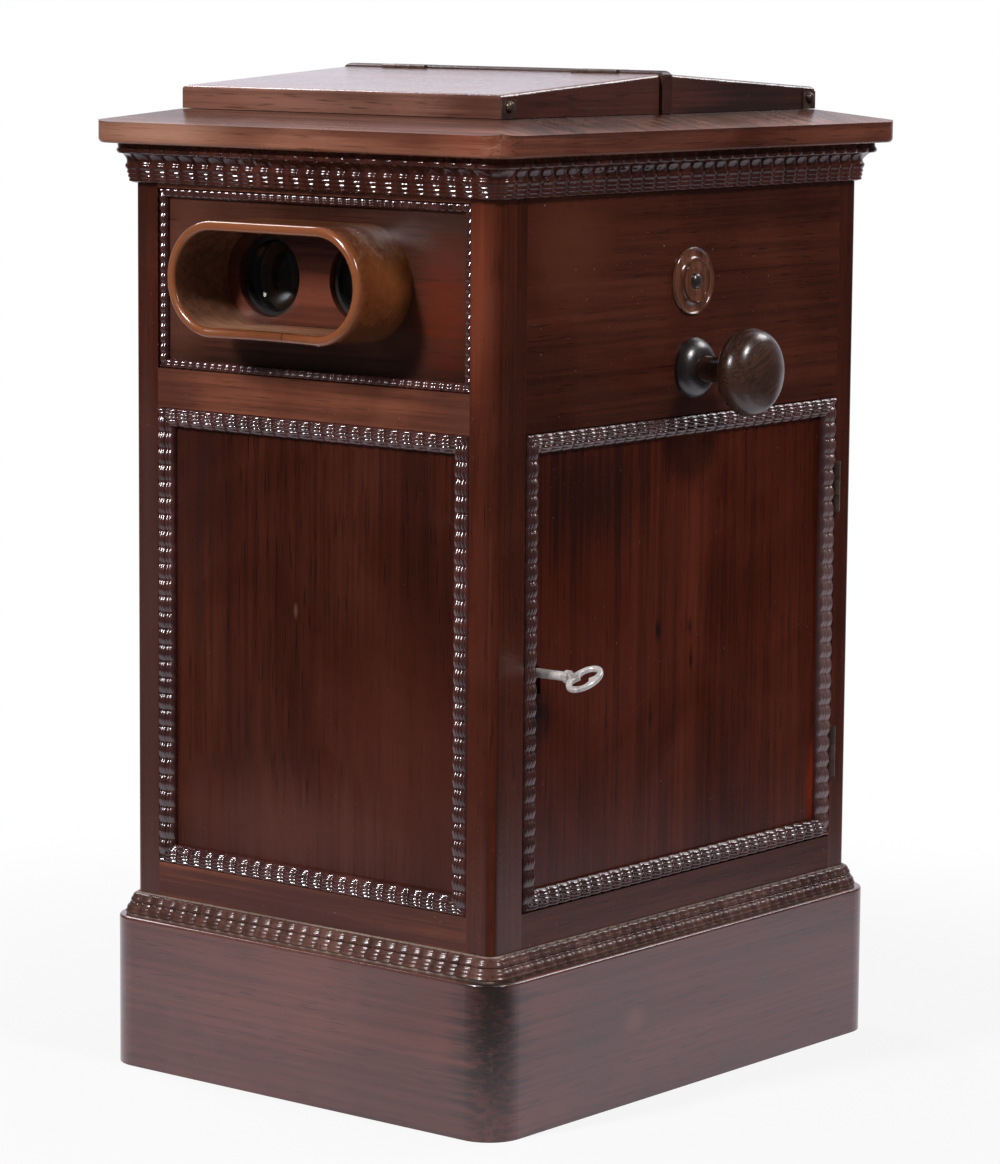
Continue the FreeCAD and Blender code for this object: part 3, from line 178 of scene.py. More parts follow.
class ShaderTree(NodeTree):
    """A material with its one shader, whose patterns follow the object's own coordinates.

    MITRE is the span in which the grain changes over: how far a face looks sideways, round 45 degrees.
    """

    MITRE = (0.70, 0.72)

    def __init__(self, name: str) -> None:
        """Starts the material.

        Args:
            name: name of the material.
        """
        self.material = bpy.data.materials.new(name)
        super().__init__(self.material, "Object")
        self.shader = self.nodes["Principled BSDF"]
        self.facing = self.source.outputs["Normal"]

    def set(self, **values: object) -> None:
        """Gives sockets or constants to the shader's inputs, underscores standing for spaces."""
        for name, value in values.items():
            self.give(self.shader.inputs[name.replace("_", " ")], value)

    def mapped(self, scale: Triple, shift: Triple = (0.0, 0.0, 0.0)) -> Socket:
        """Object coordinates in metres, multiplied by a scale and then moved by a shift."""
        inputs = {"Vector": self.place, "Scale": scale, "Location": shift}
        return self.node("Mapping", inputs).outputs["Vector"]

    def even(self, scale: float, shift: Triple = (0.0, 0.0, 0.0)) -> Socket:
        """Object coordinates with the same scale along all axes."""
        return self.mapped((scale, scale, scale), shift)

    def tilt(self, angle: float) -> None:
        """Turns the coordinates that later calls read about the X axis, by radians."""
        turned = self.node("Mapping", {"Vector": self.place, "Rotation": (angle, 0.0, 0.0)})
        self.place = turned.outputs["Vector"]

    def sideways(self, low: float, high: float) -> Socket:
        """Value that goes from 0 to 1 as faces turn to look along the X axis, either way."""
        across = self.node("SeparateXYZ", {0: self.facing}).outputs["X"]
        return self.span(self.worked("ABSOLUTE", across, 0.0), low, high)

    def along(self, grain: Grain, across: float, along: float, shift: Triple) -> Socket:
        """Coordinates of a pattern that is drawn out along the grain.

        Boards that run round the cabinet have it along Y on faces that look sideways, along X elsewhere.

        Args:
            grain: how the grain runs.
            across: scale across the grain.
            along: scale along the grain.
            shift: move of the pattern.

        Returns:
            The coordinates.
        """
        if grain is not Grain.AROUND:
            return self.mapped(grain.stretch(across, along), shift)
        fronts = self.mapped(Grain.ALONG_X.stretch(across, along), shift)
        sides = self.mapped(Grain.ALONG_Y.stretch(across, along), shift)
        inputs = {0: self.sideways(*self.MITRE), 4: fronts, 5: sides}
        return self.node("Mix", inputs, data_type="VECTOR").outputs[1]

    def noise(self, place: Socket, detail: float, roughness: float = 0.5, bend: float = 0.0) -> Socket:
        """Soft noise from 0 to 1 with a number of finer layers, their weight, and how far it is bent."""
        inputs = {"Vector": place, "Scale": 1.0, "Detail": detail, "Roughness": roughness}
        return self.node("TexNoise", inputs | {"Distortion": bend}).outputs["Fac"]

    def ramp(self, value: Socket, stops: list[tuple[float, tuple]]) -> Socket:
        """Colour ramp over a value.

        Args:
            value: the value to colour.
            stops: pairs of a place from 0 to 1 and a linear colour.

        Returns:
            The colour.
        """
        node = self.node("ValToRGB", {"Fac": value})
        while len(node.color_ramp.elements) < len(stops):
            node.color_ramp.elements.new(0.5)
        for element, (place, colour) in zip(node.color_ramp.elements, stops):
            element.position = place
            element.color = colour
        return node.outputs["Color"]

    def relief(self, height: Socket, depth: float, strength: float) -> None:
        """Bumps the surface by a height pattern whose full depth is given in metres."""
        bump = self.node("Bump", {"Height": height, "Distance": depth, "Strength": strength})
        self.set(Normal=bump.outputs["Normal"], Coat_Normal=bump.outputs["Normal"])

    def darkened(self, colour: Socket, share: Socket, amount: float) -> Socket:
        """A colour that is darkened by an amount from 0 to 1 where the share is 1."""
        return self.mixed(share, colour, (1.0 - amount,) * 3 + (1.0,), "MULTIPLY")

    def distance(self, centre: Triple, reach: Triple) -> Socket:
        """Distance from a point, as a share of a reach.

        Args:
            centre: the point, in millimetres.
            reach: the reach along each axis, in millimetres.

        Returns:
            The share, 1 at the reach.
        """
        half = np.asarray(reach) * MM
        place = self.mapped(tuple(1.0 / half), tuple(-np.asarray(centre) * MM / half))
        return self.node("VectorMath", {0: place}, operation="LENGTH").outputs["Value"]


@dataclass(frozen=True)
class Patch:
    """A soft spot of another colour at a place on a piece, in millimetres."""

    centre: Triple
    reach: Triple
    colour: Triple
    strength: float


@dataclass(frozen=True)
class WoodFinish:
    """Polished wood: broad figure, streaks, pores, clouds, dust and spots under a coat of polish.
    Some spots are stains, and some are painted light and painted shade.

    A scale is the number of waves of a pattern to the metre, and a span is where a pattern begins to
    show and where it shows in full.
    """

    CLOUD_SCALE = 9.0
    FIGURE_LENGTH = 0.1
    STREAK_SCALE = 5.0
    PORE_SCALES = (900.0, 45.0)
    PEEL_SCALE = 520.0
    DUST_SCALE = 610.0
    TONE_PLACES = (0.3, 0.5, 0.7)
    STREAK_SPAN = (0.6, 0.36)
    PORE_SPAN = (0.6, 0.74)
    CLOUD_SPAN = (0.58, 0.34)
    SIDE_SPAN = (0.45, 0.9)
    DUST_SPAN = (0.77, 0.83)
    POLISH_SPAN = (0.3, 0.7)
    SPOT_SPAN = (0.1, 1.1)
    SPOT_FRAY = (0.25, 0.75, -0.3, 0.3)
    DUST_COLOUR = (190, 176, 172)
    RELIEF_DEPTH = 0.0004

    name: str
    grain: Grain
    dark: Triple
    main: Triple
    light: Triple
    figure: float = 16.0
    fineness: float = 260.0
    streaks: float = 0.32
    pores: float = 0.45
    clouds: float = 0.28
    dust: float = 0.12
    polish: Pair = (0.26, 0.42)
    specular: float = 0.25
    coat: float = 0.0
    coat_roughness: float = 0.15
    relief: float = 0.12
    tilt: float = 0.0
    # Colour multiplied onto faces that look sideways: partly painted shade, partly the wood's own tone.
    side_shade_and_tone: Triple = (1.0, 1.0, 1.0)
    shift: Triple = (0.0, 0.0, 0.0)
    patches: tuple[Patch, ...] = ()

    def material(self) -> bpy.types.Material:
        """Builds the node material of this wood.

        The colour is a ramp over noise stretched along the grain, darkened by finer streaks and
        short pores and by broad clouds, multiplied on the faces that look sideways by the side colour,
        which is partly painted shade, mixed with the spots, which are stains, painted light and painted
        shade, and last dotted with pale dust. The relief is the streaks, the pores and the fine orange
        peel of the polish.

        Returns:
            The material.
        """
        tree = ShaderTree(self.name)
        cloud = tree.noise(tree.even(self.CLOUD_SCALE, self.shift), detail=4.0, roughness=0.55, bend=0.6)
        spots = [tree.distance(patch.centre, patch.reach) for patch in self.patches]
        tree.tilt(self.tilt)
        broad = tree.along(self.grain, self.figure, self.figure * self.FIGURE_LENGTH, self.shift)
        figure = tree.noise(broad, detail=5.0, roughness=0.55, bend=0.9)
        thin = tree.along(self.grain, self.fineness, self.STREAK_SCALE, self.shift)
        streak = tree.noise(thin, detail=4.0, roughness=0.62, bend=0.2)
        pore = tree.noise(tree.along(self.grain, *self.PORE_SCALES, self.shift), detail=1.0)
        peel = tree.noise(tree.even(self.PEEL_SCALE), detail=2.0)
        speck = tree.noise(tree.even(self.DUST_SCALE, self.shift), detail=1.0, roughness=0.4)
        tones = [linear(tone) for tone in (self.dark, self.main, self.light)]
        colour = tree.ramp(figure, list(zip(self.TONE_PLACES, tones)))
        colour = tree.darkened(colour, tree.span(streak, *self.STREAK_SPAN), self.streaks)
        colour = tree.darkened(colour, tree.span(pore, *self.PORE_SPAN), self.pores)
        colour = tree.darkened(colour, tree.span(cloud, *self.CLOUD_SPAN), self.clouds)
        # Faces that look sideways take the side colour, which is partly painted shade.
        colour = tree.mixed(tree.sideways(*self.SIDE_SPAN), colour, self.side_shade_and_tone + (1.0,), "MULTIPLY")
        fray = tree.span(streak, *self.SPOT_FRAY)
        for patch, distance in zip(self.patches, spots):
            share = tree.span(tree.worked("ADD", distance, fray), *self.SPOT_SPAN, patch.strength, 0.0)
            colour = tree.mixed(share, colour, linear(patch.colour))
        dust = tree.span(speck, *self.DUST_SPAN, 0.0, self.dust)
        rough = tree.worked("ADD", tree.worked("ADD", streak, pore), peel)
        tree.relief(rough, self.RELIEF_DEPTH, self.relief)
        tree.set(
            Base_Color=tree.mixed(dust, colour, linear(self.DUST_COLOUR)),
            Roughness=tree.span(cloud, *self.POLISH_SPAN, *self.polish),
            Specular_IOR_Level=self.specular,
            Coat_Weight=self.coat,
            Coat_Roughness=self.coat_roughness,
        )
        return tree.material


@dataclass(frozen=True)
class MetalFinish:
    """Worn metal: a bright colour, a tarnished one in stains, and fine scratches."""

    CLOUD_SCALE = 160.0
    SCRATCH_SCALE = (900.0, 2600.0, 500.0)
    SCRATCH_DEPTH = 0.00005
    SCRATCH_STRENGTH = 0.2
    STAIN_EDGE = 0.12
    ROUGH_SPAN = (0.12, 0.42)

    name: str
    bright: Triple
    tarnish: Triple
    amount: float
    rough: Pair
    metallic: float = 1.0

    def material(self) -> bpy.types.Material:
        """Builds the node material: tarnish by clouds, fine scratches in the roughness and relief.

        Returns:
            The material.
        """
        tree = ShaderTree(self.name)
        cloud = tree.noise(tree.even(self.CLOUD_SCALE), detail=5.0, roughness=0.6, bend=0.4)
        scratch = tree.noise(tree.mapped(self.SCRATCH_SCALE), detail=2.0, roughness=0.6)
        # The more tarnish there is, the lower the noise at which it begins.
        edge = 0.5 + (0.5 - self.amount) * 0.5
        share = tree.span(cloud, edge - self.STAIN_EDGE, edge + self.STAIN_EDGE)
        tree.relief(scratch, self.SCRATCH_DEPTH, self.SCRATCH_STRENGTH)
        tree.set(
            Base_Color=tree.mixed(share, linear(self.bright), linear(self.tarnish)),
            Roughness=tree.span(tree.worked("MULTIPLY", cloud, scratch), *self.ROUGH_SPAN, *self.rough),
            Metallic=self.metallic,
        )
        return tree.material


@dataclass(frozen=True)
class GlassFinish:
    """Clear ground glass with a faint tint and a little dust."""

    DUST_SCALE = 220.0
    DUST_SPAN = (0.5, 0.8)

    name: str
    tint: Triple
    rough: Pair = (0.01, 0.06)
    refraction: float = 1.52
    specular: float = 0.35

    def material(self) -> bpy.types.Material:
        """Builds the node material: clear glass whose roughness follows a thin film of dust.

        Returns:
            The material.
        """
        tree = ShaderTree(self.name)
        dust = tree.noise(tree.even(self.DUST_SCALE), detail=4.0, roughness=0.6, bend=0.3)
        tree.set(
            Base_Color=linear(self.tint),
            Roughness=tree.span(dust, *self.DUST_SPAN, *self.rough),
            Transmission_Weight=1.0,
            IOR=self.refraction,
            Specular_IOR_Level=self.specular,
        )
        return tree.material


@dataclass(frozen=True)
class SheetFinish:
    """Cloth, board or paint: a main colour mottled with a second one, with a fine weave or fibre."""

    CLOUD_SCALE = 45.0
    MOTTLE_SPAN = (0.12, 0.4)
    ROUGH_SPAN = (0.3, 0.7)
    FIBRE_DEPTH = 0.0003
    FIBRE_STRENGTH = 0.4

    name: str
    main: Triple
    second: Triple
    fibre: Triple
    rough: Pair = (0.7, 0.9)
    weave: float = 0.0
    specular: float = 0.25

    def material(self) -> bpy.types.Material:
        """Builds the node material: mottled colour and a relief of fibres or of a plain weave.

        Returns:
            The material.
        """
        tree = ShaderTree(self.name)
        cloud = tree.noise(tree.even(self.CLOUD_SCALE), detail=5.0, roughness=0.6, bend=0.5)
        fibre = tree.noise(tree.mapped(self.fibre), detail=3.0, roughness=0.6, bend=0.2)
        share = tree.span(tree.worked("MULTIPLY", cloud, fibre), *self.MOTTLE_SPAN)
        height = fibre
        if self.weave:
            height = tree.worked("ADD", self.threads(tree, "X"), self.threads(tree, "Z"))
        tree.relief(height, self.FIBRE_DEPTH, self.FIBRE_STRENGTH)
        tree.set(
            Base_Color=tree.mixed(share, linear(self.main), linear(self.second)),
            Roughness=tree.span(fibre, *self.ROUGH_SPAN, *self.rough),
            Specular_IOR_Level=self.specular,
        )
        return tree.material

    def threads(self, tree: ShaderTree, axis: str) -> Socket:
        """Height of rows of threads that follow each other along the named axis."""
        inputs = {"Vector": tree.place, "Scale": self.weave}
        return tree.node("TexWave", inputs, bands_direction=axis).outputs["Fac"]


class Finish(Enum):
    """Every finish of the cabinet, named for where it is used."""

    DOOR = WoodFinish(
        "door_mahogany", Grain.ALONG_Z, (58, 20, 9), (71, 25, 11), (84, 33, 16), dust=0.2,
        pores=0.4, polish=(0.2, 0.32),
        patches=(
            Patch((128, -17, 261), (5, 3.5, 7), (14, 8, 8), 0.85),
            Patch((128, 13, 260), (5, 3, 8), (18, 9, 8), 0.75),
            Patch((128, 14, 241), (5, 3, 9), (18, 9, 8), 0.75),
            Patch((128, -23, 211), (5, 3, 7), (22, 10, 8), 0.6),
            Patch((128, -122, 228), (6, 13, 22), (26, 12, 10), 0.7),
            Patch((128, -80, 345), (6, 80, 56), (30, 13, 9), 0.7),
            Patch((128, 140, 150), (6, 12, 34), (150, 50, 20), 0.45),
        ),
    )
    PANEL = WoodFinish(
        "panel_mahogany", Grain.ALONG_Z, (49, 19, 11), (58, 23, 13), (67, 30, 19), polish=(0.2, 0.32),
        shift=(3.1, 0.7, 1.9),
        patches=(
            Patch((-100, -163, 330), (50, 6, 80), (44, 22, 18), 0.6),
            Patch((60, -163, 200), (70, 6, 90), (72, 31, 20), 0.4),
            # Painted reflection: a paler, greyer veil along the bottom of the lower panel.
            Patch((-20, -163, 150), (110, 6, 40), (82, 46, 38), 0.5),
            Patch((-13, -163, 274), (2, 6, 5), (96, 66, 58), 0.5),
        ),
    )
    POST = WoodFinish(
        "post_mahogany", Grain.ALONG_Z, (52, 19, 9), (63, 24, 12), (76, 33, 18), polish=(0.2, 0.32),
        coat=0.25, coat_roughness=0.14, shift=(1.3, 5.2, 0.4),
        patches=(
            # Painted reflection: a pale, greyish veil down the front-left post.
            Patch((-122, -167, 220), (16, 8, 320), (66, 44, 40), 0.7),
            Patch((-126, -167, 480), (10, 8, 60), (36, 22, 18), 0.6),
            Patch((119, -167, 455), (12, 8, 70), (112, 54, 34), 0.6),
            Patch((132, -150, 400), (6, 12, 90), (40, 18, 11), 0.5),
        ),
    )
    RAIL = WoodFinish(
        "rail_mahogany", Grain.ALONG_X, (88, 48, 34), (108, 61, 43), (120, 72, 53), clouds=0.35,
        shift=(0.2, 2.4, 4.4),
        patches=(
            Patch((-108, -167, 392), (40, 6, 30), (62, 32, 25), 0.7),
            Patch((108, -167, 392), (40, 6, 30), (66, 34, 26), 0.7),
            Patch((0, -167, 106), (260, 6, 22), (64, 34, 29), 1.0),
        ),
    )
    SIDE_BOARD = WoodFinish(
        "side_board_mahogany", Grain.ALONG_Y, (52, 23, 14), (69, 31, 20), (84, 42, 28), dust=0.35,
        polish=(0.2, 0.32), shift=(2.2, 1.4, 0.9),
        patches=(
            Patch((132, -104, 480), (6, 46, 40), (88, 46, 27), 0.5),
            Patch((132, 60, 440), (6, 60, 30), (48, 21, 15), 0.5),
        ),
    )
    EYEPIECE_PANEL = WoodFinish(
        "eyepiece_panel_mahogany", Grain.ALONG_X, (48, 24, 16), (62, 32, 22), (78, 43, 31),
        shift=(4.2, 0.3, 2.6),
        patches=(
            Patch((94, -163, 448), (28, 8, 42), (98, 34, 14), 0.5),
            # Painted light on the panel inside the hood, at the left.
            Patch((-58, -163, 442), (16, 6, 24), (120, 64, 46), 0.6),
            Patch((-100, -163, 450), (24, 8, 60), (84, 52, 40), 0.6),
            # Painted shadow under the hood.
            Patch((-20, -163, 410), (90, 6, 14), (30, 15, 10), 0.6),
            # Painted light on the panel inside the hood.
            Patch((2, -163, 454), (66, 6, 28), (112, 60, 44), 0.75),
        ),
    )
    TOP = WoodFinish(
        "top_mahogany", Grain.AROUND, (94, 54, 40), (130, 85, 66), (156, 112, 90), streaks=0.3,
        pores=0.5, polish=(0.22, 0.32), specular=0.2, coat=0.05, coat_roughness=0.1, relief=0.3,
        side_shade_and_tone=(0.58, 0.44, 0.42), shift=(0.9, 3.3, 1.2),
        patches=(
            Patch((94, -186, 537), (14, 6, 7), (60, 32, 24), 0.6),
            Patch((92, -186, 538), (80, 40, 16), (84, 44, 31), 0.75),
            # Painted shade: the upward facets of the board are darkened.
            Patch((0, 0, 549), (900, 900, 10), (58, 35, 28), 0.95),
            # Painted shade: the right facet is darker still.
            Patch((140, -80, 545), (22, 130, 16), (40, 25, 21), 0.65),
            Patch((-90, -186, 536), (60, 8, 10), (164, 124, 104), 0.5),
            Patch((128, -186, 536), (26, 8, 12), (124, 56, 34), 0.3),
        ),
    )
    FLAP = WoodFinish(
        "flap_mahogany", Grain.AROUND, (88, 52, 40), (116, 76, 62), (138, 98, 82), streaks=0.3,
        pores=0.5, polish=(0.22, 0.32), specular=0.4, coat=0.7, coat_roughness=0.1, relief=0.3,
        side_shade_and_tone=(0.46, 0.34, 0.34), shift=(2.9, 0.3, 4.2),
        patches=(
            Patch((104, -144, 552), (40, 8, 20), (74, 40, 32), 0.6),
            Patch((115, 84, 552), (8, 84, 30), (32, 23, 21), 0.85),
        ),
    )
    RIDGE = WoodFinish(
        "ridge_mahogany", Grain.ALONG_X, (48, 26, 22), (60, 34, 29), (74, 44, 38), polish=(0.24, 0.36),
        shift=(0.4, 4.3, 2.2),
    )
    PLINTH = WoodFinish(
        "plinth_mahogany", Grain.AROUND, (72, 36, 29), (86, 46, 38), (102, 60, 50), figure=10.0,
        streaks=0.25, clouds=0.25, polish=(0.3, 0.4), specular=0.5, coat=0.7, coat_roughness=0.14,
        side_shade_and_tone=(1.0, 0.85, 0.95), shift=(5.0, 1.0, 0.6),
        patches=(
            # Painted shade: dark round the plinth's near corner.
            Patch((143, -178, 70), (34, 34, 90), (16, 9, 8), 0.9),
            Patch((145, -96, 39), (6, 12, 7), (52, 36, 36), 0.5),
            Patch((145, -56, 47), (6, 14, 9), (120, 72, 60), 0.4),
            Patch((145, 64, 49), (6, 12, 8), (62, 46, 46), 0.5),
        ),
    )
    RIPPLE = WoodFinish(
        "ripple_polished", Grain.ALONG_Z, (52, 28, 25), (68, 37, 33), (82, 47, 42), figure=40.0, dust=0.0,
        polish=(0.14, 0.22), specular=0.8, coat=0.4, shift=(1.0, 2.0, 3.0),
        # Painted sheen: the door frame's back strip is paler.
        patches=(Patch((130, 143, 250), (20, 9, 180), (126, 98, 96), 0.6),),
    )
    CORNICE_RIPPLE = WoodFinish(
        "cornice_polished", Grain.ALONG_Z, (46, 22, 17), (60, 29, 22), (76, 39, 31), figure=40.0, dust=0.0,
        polish=(0.1, 0.18), specular=0.5, shift=(2.0, 3.0, 1.0),
    )
    BASE_RIPPLE = WoodFinish(
        "base_ripple_polished", Grain.ALONG_Z, (66, 42, 36), (84, 56, 49), (100, 70, 62), figure=40.0,
        polish=(0.18, 0.28), specular=0.35, shift=(4.0, 2.0, 1.0),
    )
    BARE_EDGE = WoodFinish(
        "bare_wood_edge", Grain.AROUND, (104, 88, 78), (130, 113, 102), (148, 132, 120),
        polish=(0.6, 0.8), specular=0.2,
    )
    HOOD = WoodFinish(
        "hood_walnut", Grain.ALONG_X, (80, 41, 21), (101, 55, 29), (122, 72, 40), streaks=0.25, clouds=0.3,
        polish=(0.16, 0.24), specular=0.4, coat=0.4, coat_roughness=0.08, shift=(0.0, 1.0, 2.0),
        patches=(
            # Painted highlight on the hood's right end.
            Patch((66, -175, 470), (12, 30, 22), (140, 84, 42), 0.5),
            # Painted shade under the hood's right end.
            Patch((60, -170, 434), (24, 26, 12), (76, 40, 23), 0.6),
            # Pale top of the hood: partly dust, partly painted reflection.
            Patch((72, -176, 492), (46, 26, 22), (140, 118, 110), 0.6),
            Patch((0, -207, 458), (400, 7, 400), (126, 74, 45), 0.7),
            Patch((11, -206, 430), (1, 8, 5), (30, 16, 10), 0.8),
        ),
    )
    HOOD_INSIDE = WoodFinish(
        "hood_lining", Grain.ALONG_X, (92, 58, 41), (124, 82, 60), (148, 104, 78), polish=(0.22, 0.34),
        specular=0.4, shift=(2.0, 1.0, 0.0),
        # Pale bottom of the lining: partly dust, partly painted reflection.
        patches=(Patch((-20, -190, 430), (70, 30, 9), (186, 138, 108), 0.7),),
    )
    DIAL = WoodFinish(
        "dial_cedar", Grain.ALONG_Z, (78, 42, 28), (108, 66, 48), (140, 92, 68), figure=90.0, streaks=0.35,
        polish=(0.14, 0.2), specular=0.5, coat=0.3, coat_roughness=0.08,
        patches=(Patch((136, 5.5, 456), (9, 9, 9), (78, 42, 28), 0.8),),
    )
    KNOB = WoodFinish(
        "knob_rosewood", Grain.ALONG_Y, (50, 31, 22), (62, 39, 28), (74, 48, 35), figure=24.0,
        fineness=760.0, streaks=0.55, pores=0.0, polish=(0.22, 0.32), specular=0.7, relief=0.05,
        tilt=math.radians(-25.0),
    )
    ROSE = WoodFinish(
        "rose_ebonised", Grain.ALONG_Z, (30, 22, 20), (42, 31, 29), (54, 42, 39), figure=60.0,
        polish=(0.24, 0.32), specular=0.9,
    )
    INSIDE = WoodFinish(
        "inner_pine", Grain.ALONG_X, (128, 92, 58), (158, 117, 76), (180, 142, 98), polish=(0.55, 0.75),
        shift=(6.0, 2.0, 1.0),
    )
    BLACK_BOARD = SheetFinish("blackened_board", (20, 18, 18), (40, 36, 34), (300.0, 300.0, 40.0))
    BRASS = MetalFinish("aged_brass", (150, 112, 62), (84, 60, 38), 0.55, (0.25, 0.45))
    BRONZE = MetalFinish("dark_bronze", (84, 66, 56), (58, 42, 34), 0.55, (0.24, 0.4), 0.3)
    IRON = MetalFinish("blackened_iron", (96, 92, 90), (52, 46, 42), 0.5, (0.35, 0.55))
    STEEL = MetalFinish("bright_steel", (196, 192, 188), (132, 126, 122), 0.35, (0.2, 0.36), 0.35)
    SHAFT = MetalFinish("turned_steel", (168, 166, 164), (104, 98, 94), 0.4, (0.25, 0.4))
    TIN = MetalFinish("tinned_sheet", (176, 176, 174), (118, 114, 108), 0.45, (0.3, 0.5))
    CANVAS = SheetFinish("belt_canvas", (150, 134, 104), (112, 96, 70), (700.0, 700.0, 700.0), weave=420.0)
    CARD = SheetFinish("mount_card", (206, 190, 158), (182, 160, 122), (240.0, 240.0, 240.0), (0.6, 0.85))
    MIRROR = MetalFinish("silvered_mirror", (226, 228, 230), (150, 146, 138), 0.12, (0.02, 0.09))
    LENS = GlassFinish("ground_lens", (238, 244, 240))

    def material(self) -> bpy.types.Material:
        """The material of this finish, built on its first use."""
        found = bpy.data.materials.get(self.value.name)
        return found if found else self.value.material()


@dataclass(frozen=True)
class NodeBox:
    """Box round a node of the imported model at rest, in millimetres to the nearest thousandth."""

    DIGITS = 3

    low: np.ndarray
    high: np.ndarray

    @classmethod
    def of(cls, node: str) -> NodeBox:
        """The box round the named node."""
        return cls(*(np.round(np.asarray(corner) / MM, cls.DIGITS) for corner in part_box(node)))

    @property
    def middle(self) -> np.ndarray:
        """Middle of the box."""
        return np.round((self.low + self.high) / 2.0, self.DIGITS)

    @property
    def size(self) -> np.ndarray:
        """Size of the box along each axis."""
        return np.round(self.high - self.low, self.DIGITS)


def grid_quads(rows: int, columns: int, loop_rows: bool, loop_columns: bool) -> np.ndarray:
    """Quads of a grid of points, row by row.

    Args:
        rows: number of rows of points.
        columns: number of points in a row.
        loop_rows: whether the last row joins the first.
        loop_columns: whether the last column joins the first.

    Returns:
        Corner indices, four to a quad.
    """
    row = np.arange(rows if loop_rows else rows - 1)[:, None]
    column = np.arange(columns if loop_columns else columns - 1)[None, :]
    next_row = (row + 1) % rows
    next_column = (column + 1) % columns
    corners = [
        row * columns + column,
        next_row * columns + column,
        next_row * columns + next_column,
        row * columns + next_column,
    ]
    return np.stack([np.broadcast_to(c, (row.size, column.size)) for c in corners], -1).reshape(-1, 4)


@dataclass
class MeshParts:
    """Points in millimetres and faces of one piece, gathered sheet by sheet."""

    points: list[np.ndarray] = field(default_factory=list)
    faces: list[list[int]] = field(default_factory=list)
    slots: list[int] = field(default_factory=list)
    smooth: list[bool] = field(default_factory=list)

    def add(
        self,
        sheet: np.ndarray,
        loop_rows: bool = False,
        loop_columns: bool = False,
        slot: int | np.ndarray = 0,
        capped: bool = False,
    ) -> None:
        """Adds a sheet of points as quads.

        Args:
            sheet: points of shape rows, columns, 3.
            loop_rows: whether the last row joins the first.
            loop_columns: whether the last column joins the first.
            slot: material slot of its faces: one for all, a row for the columns or a column for the rows.
            capped: whether the first and the last row are closed with flat faces.
        """
        start = sum(len(block) for block in self.points)
        rows, columns = sheet.shape[:2]
        quads = grid_quads(rows, columns, loop_rows, loop_columns) + start
        spans = (rows if loop_rows else rows - 1, columns if loop_columns else columns - 1)
        chosen = np.broadcast_to(slot, spans).ravel().tolist()
        self.points.append(sheet.reshape(-1, 3))
        self.faces += quads.tolist()
        self.slots += chosen
        self.smooth += [True] * len(quads)
        if capped:
            ring = np.arange(columns) + start
            last_ring = ring[::-1] + (rows - 1) * columns
            self.faces += [ring.tolist(), last_ring.tolist()]
            self.slots += [chosen[0], chosen[-1]]
            self.smooth += [False, False]

    def piece(
        self, name: str, body: str, finishes: list[Finish], nodes: tuple[str, ...]
    ) -> bpy.types.Object:
        """Makes the object, dresses it and puts it on its body.

        Args:
            name: name of the piece.
            body: body that it moves with.
            finishes: finishes of its material slots.
            nodes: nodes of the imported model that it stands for.

        Returns:
            The object.
        """
        mesh = bpy.data.meshes.new(name)
        mesh.from_pydata(np.concatenate(self.points) * MM, [], self.faces)
        mesh.polygons.foreach_set("material_index", self.slots)
        mesh.polygons.foreach_set("use_smooth", self.smooth)
        mesh.set_sharp_from_angle(angle=SHARP)
        mesh.update()
        made = bpy.data.objects.new(name, mesh)
        bpy.context.scene.collection.objects.link(made)
        for finish in finishes:
            mesh.materials.append(finish.material())
        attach(made, body)
        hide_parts(*nodes)
        LOG.info("%s: %d faces on %s", name, len(mesh.polygons), body)
        return made


def arched(start: np.ndarray, end: np.ndarray, rise: float, count: int) -> np.ndarray:
    """Half an ellipse that stands on a straight line.

    The points go along the line as (1 - cos) of an angle and leave it sideways as the sine.

    Args:
        start: first point of the line, in the plane of the section.
        end: last point of the line.
        rise: height of the arch, to the left of the line.
        count: number of points.

    Returns:
        The points, with the ends.
    """
    angle = np.linspace(0.0, math.pi, count)
    share = (1.0 - np.cos(angle)) / 2.0
    way = end - start
    left = np.array([-way[1], way[0]]) / np.linalg.norm(way)
    return start + share[:, None] * way + np.sin(angle)[:, None] * rise * left


def scalloped(turns: np.ndarray) -> np.ndarray:
    """Wave from -1 to 1 with one round crest and one narrow valley in each turn.

    It is twice the size of the cosine of half the angle, less one, with the valley slightly rounded.

    Args:
        turns: number of turns at each point.

    Returns:
        The wave at each point.
    """
    half = np.cos(math.pi * turns)
    return 2.0 * np.sqrt(half * half + VALLEY_ROUNDING) - 1.0


def reeded(along: np.ndarray, reeds: int, rise: float) -> np.ndarray:
    """Rows of half sine waves side by side: rise times the size of the sine of reeds half turns."""
    return rise * np.abs(np.sin(math.pi * reeds * along))


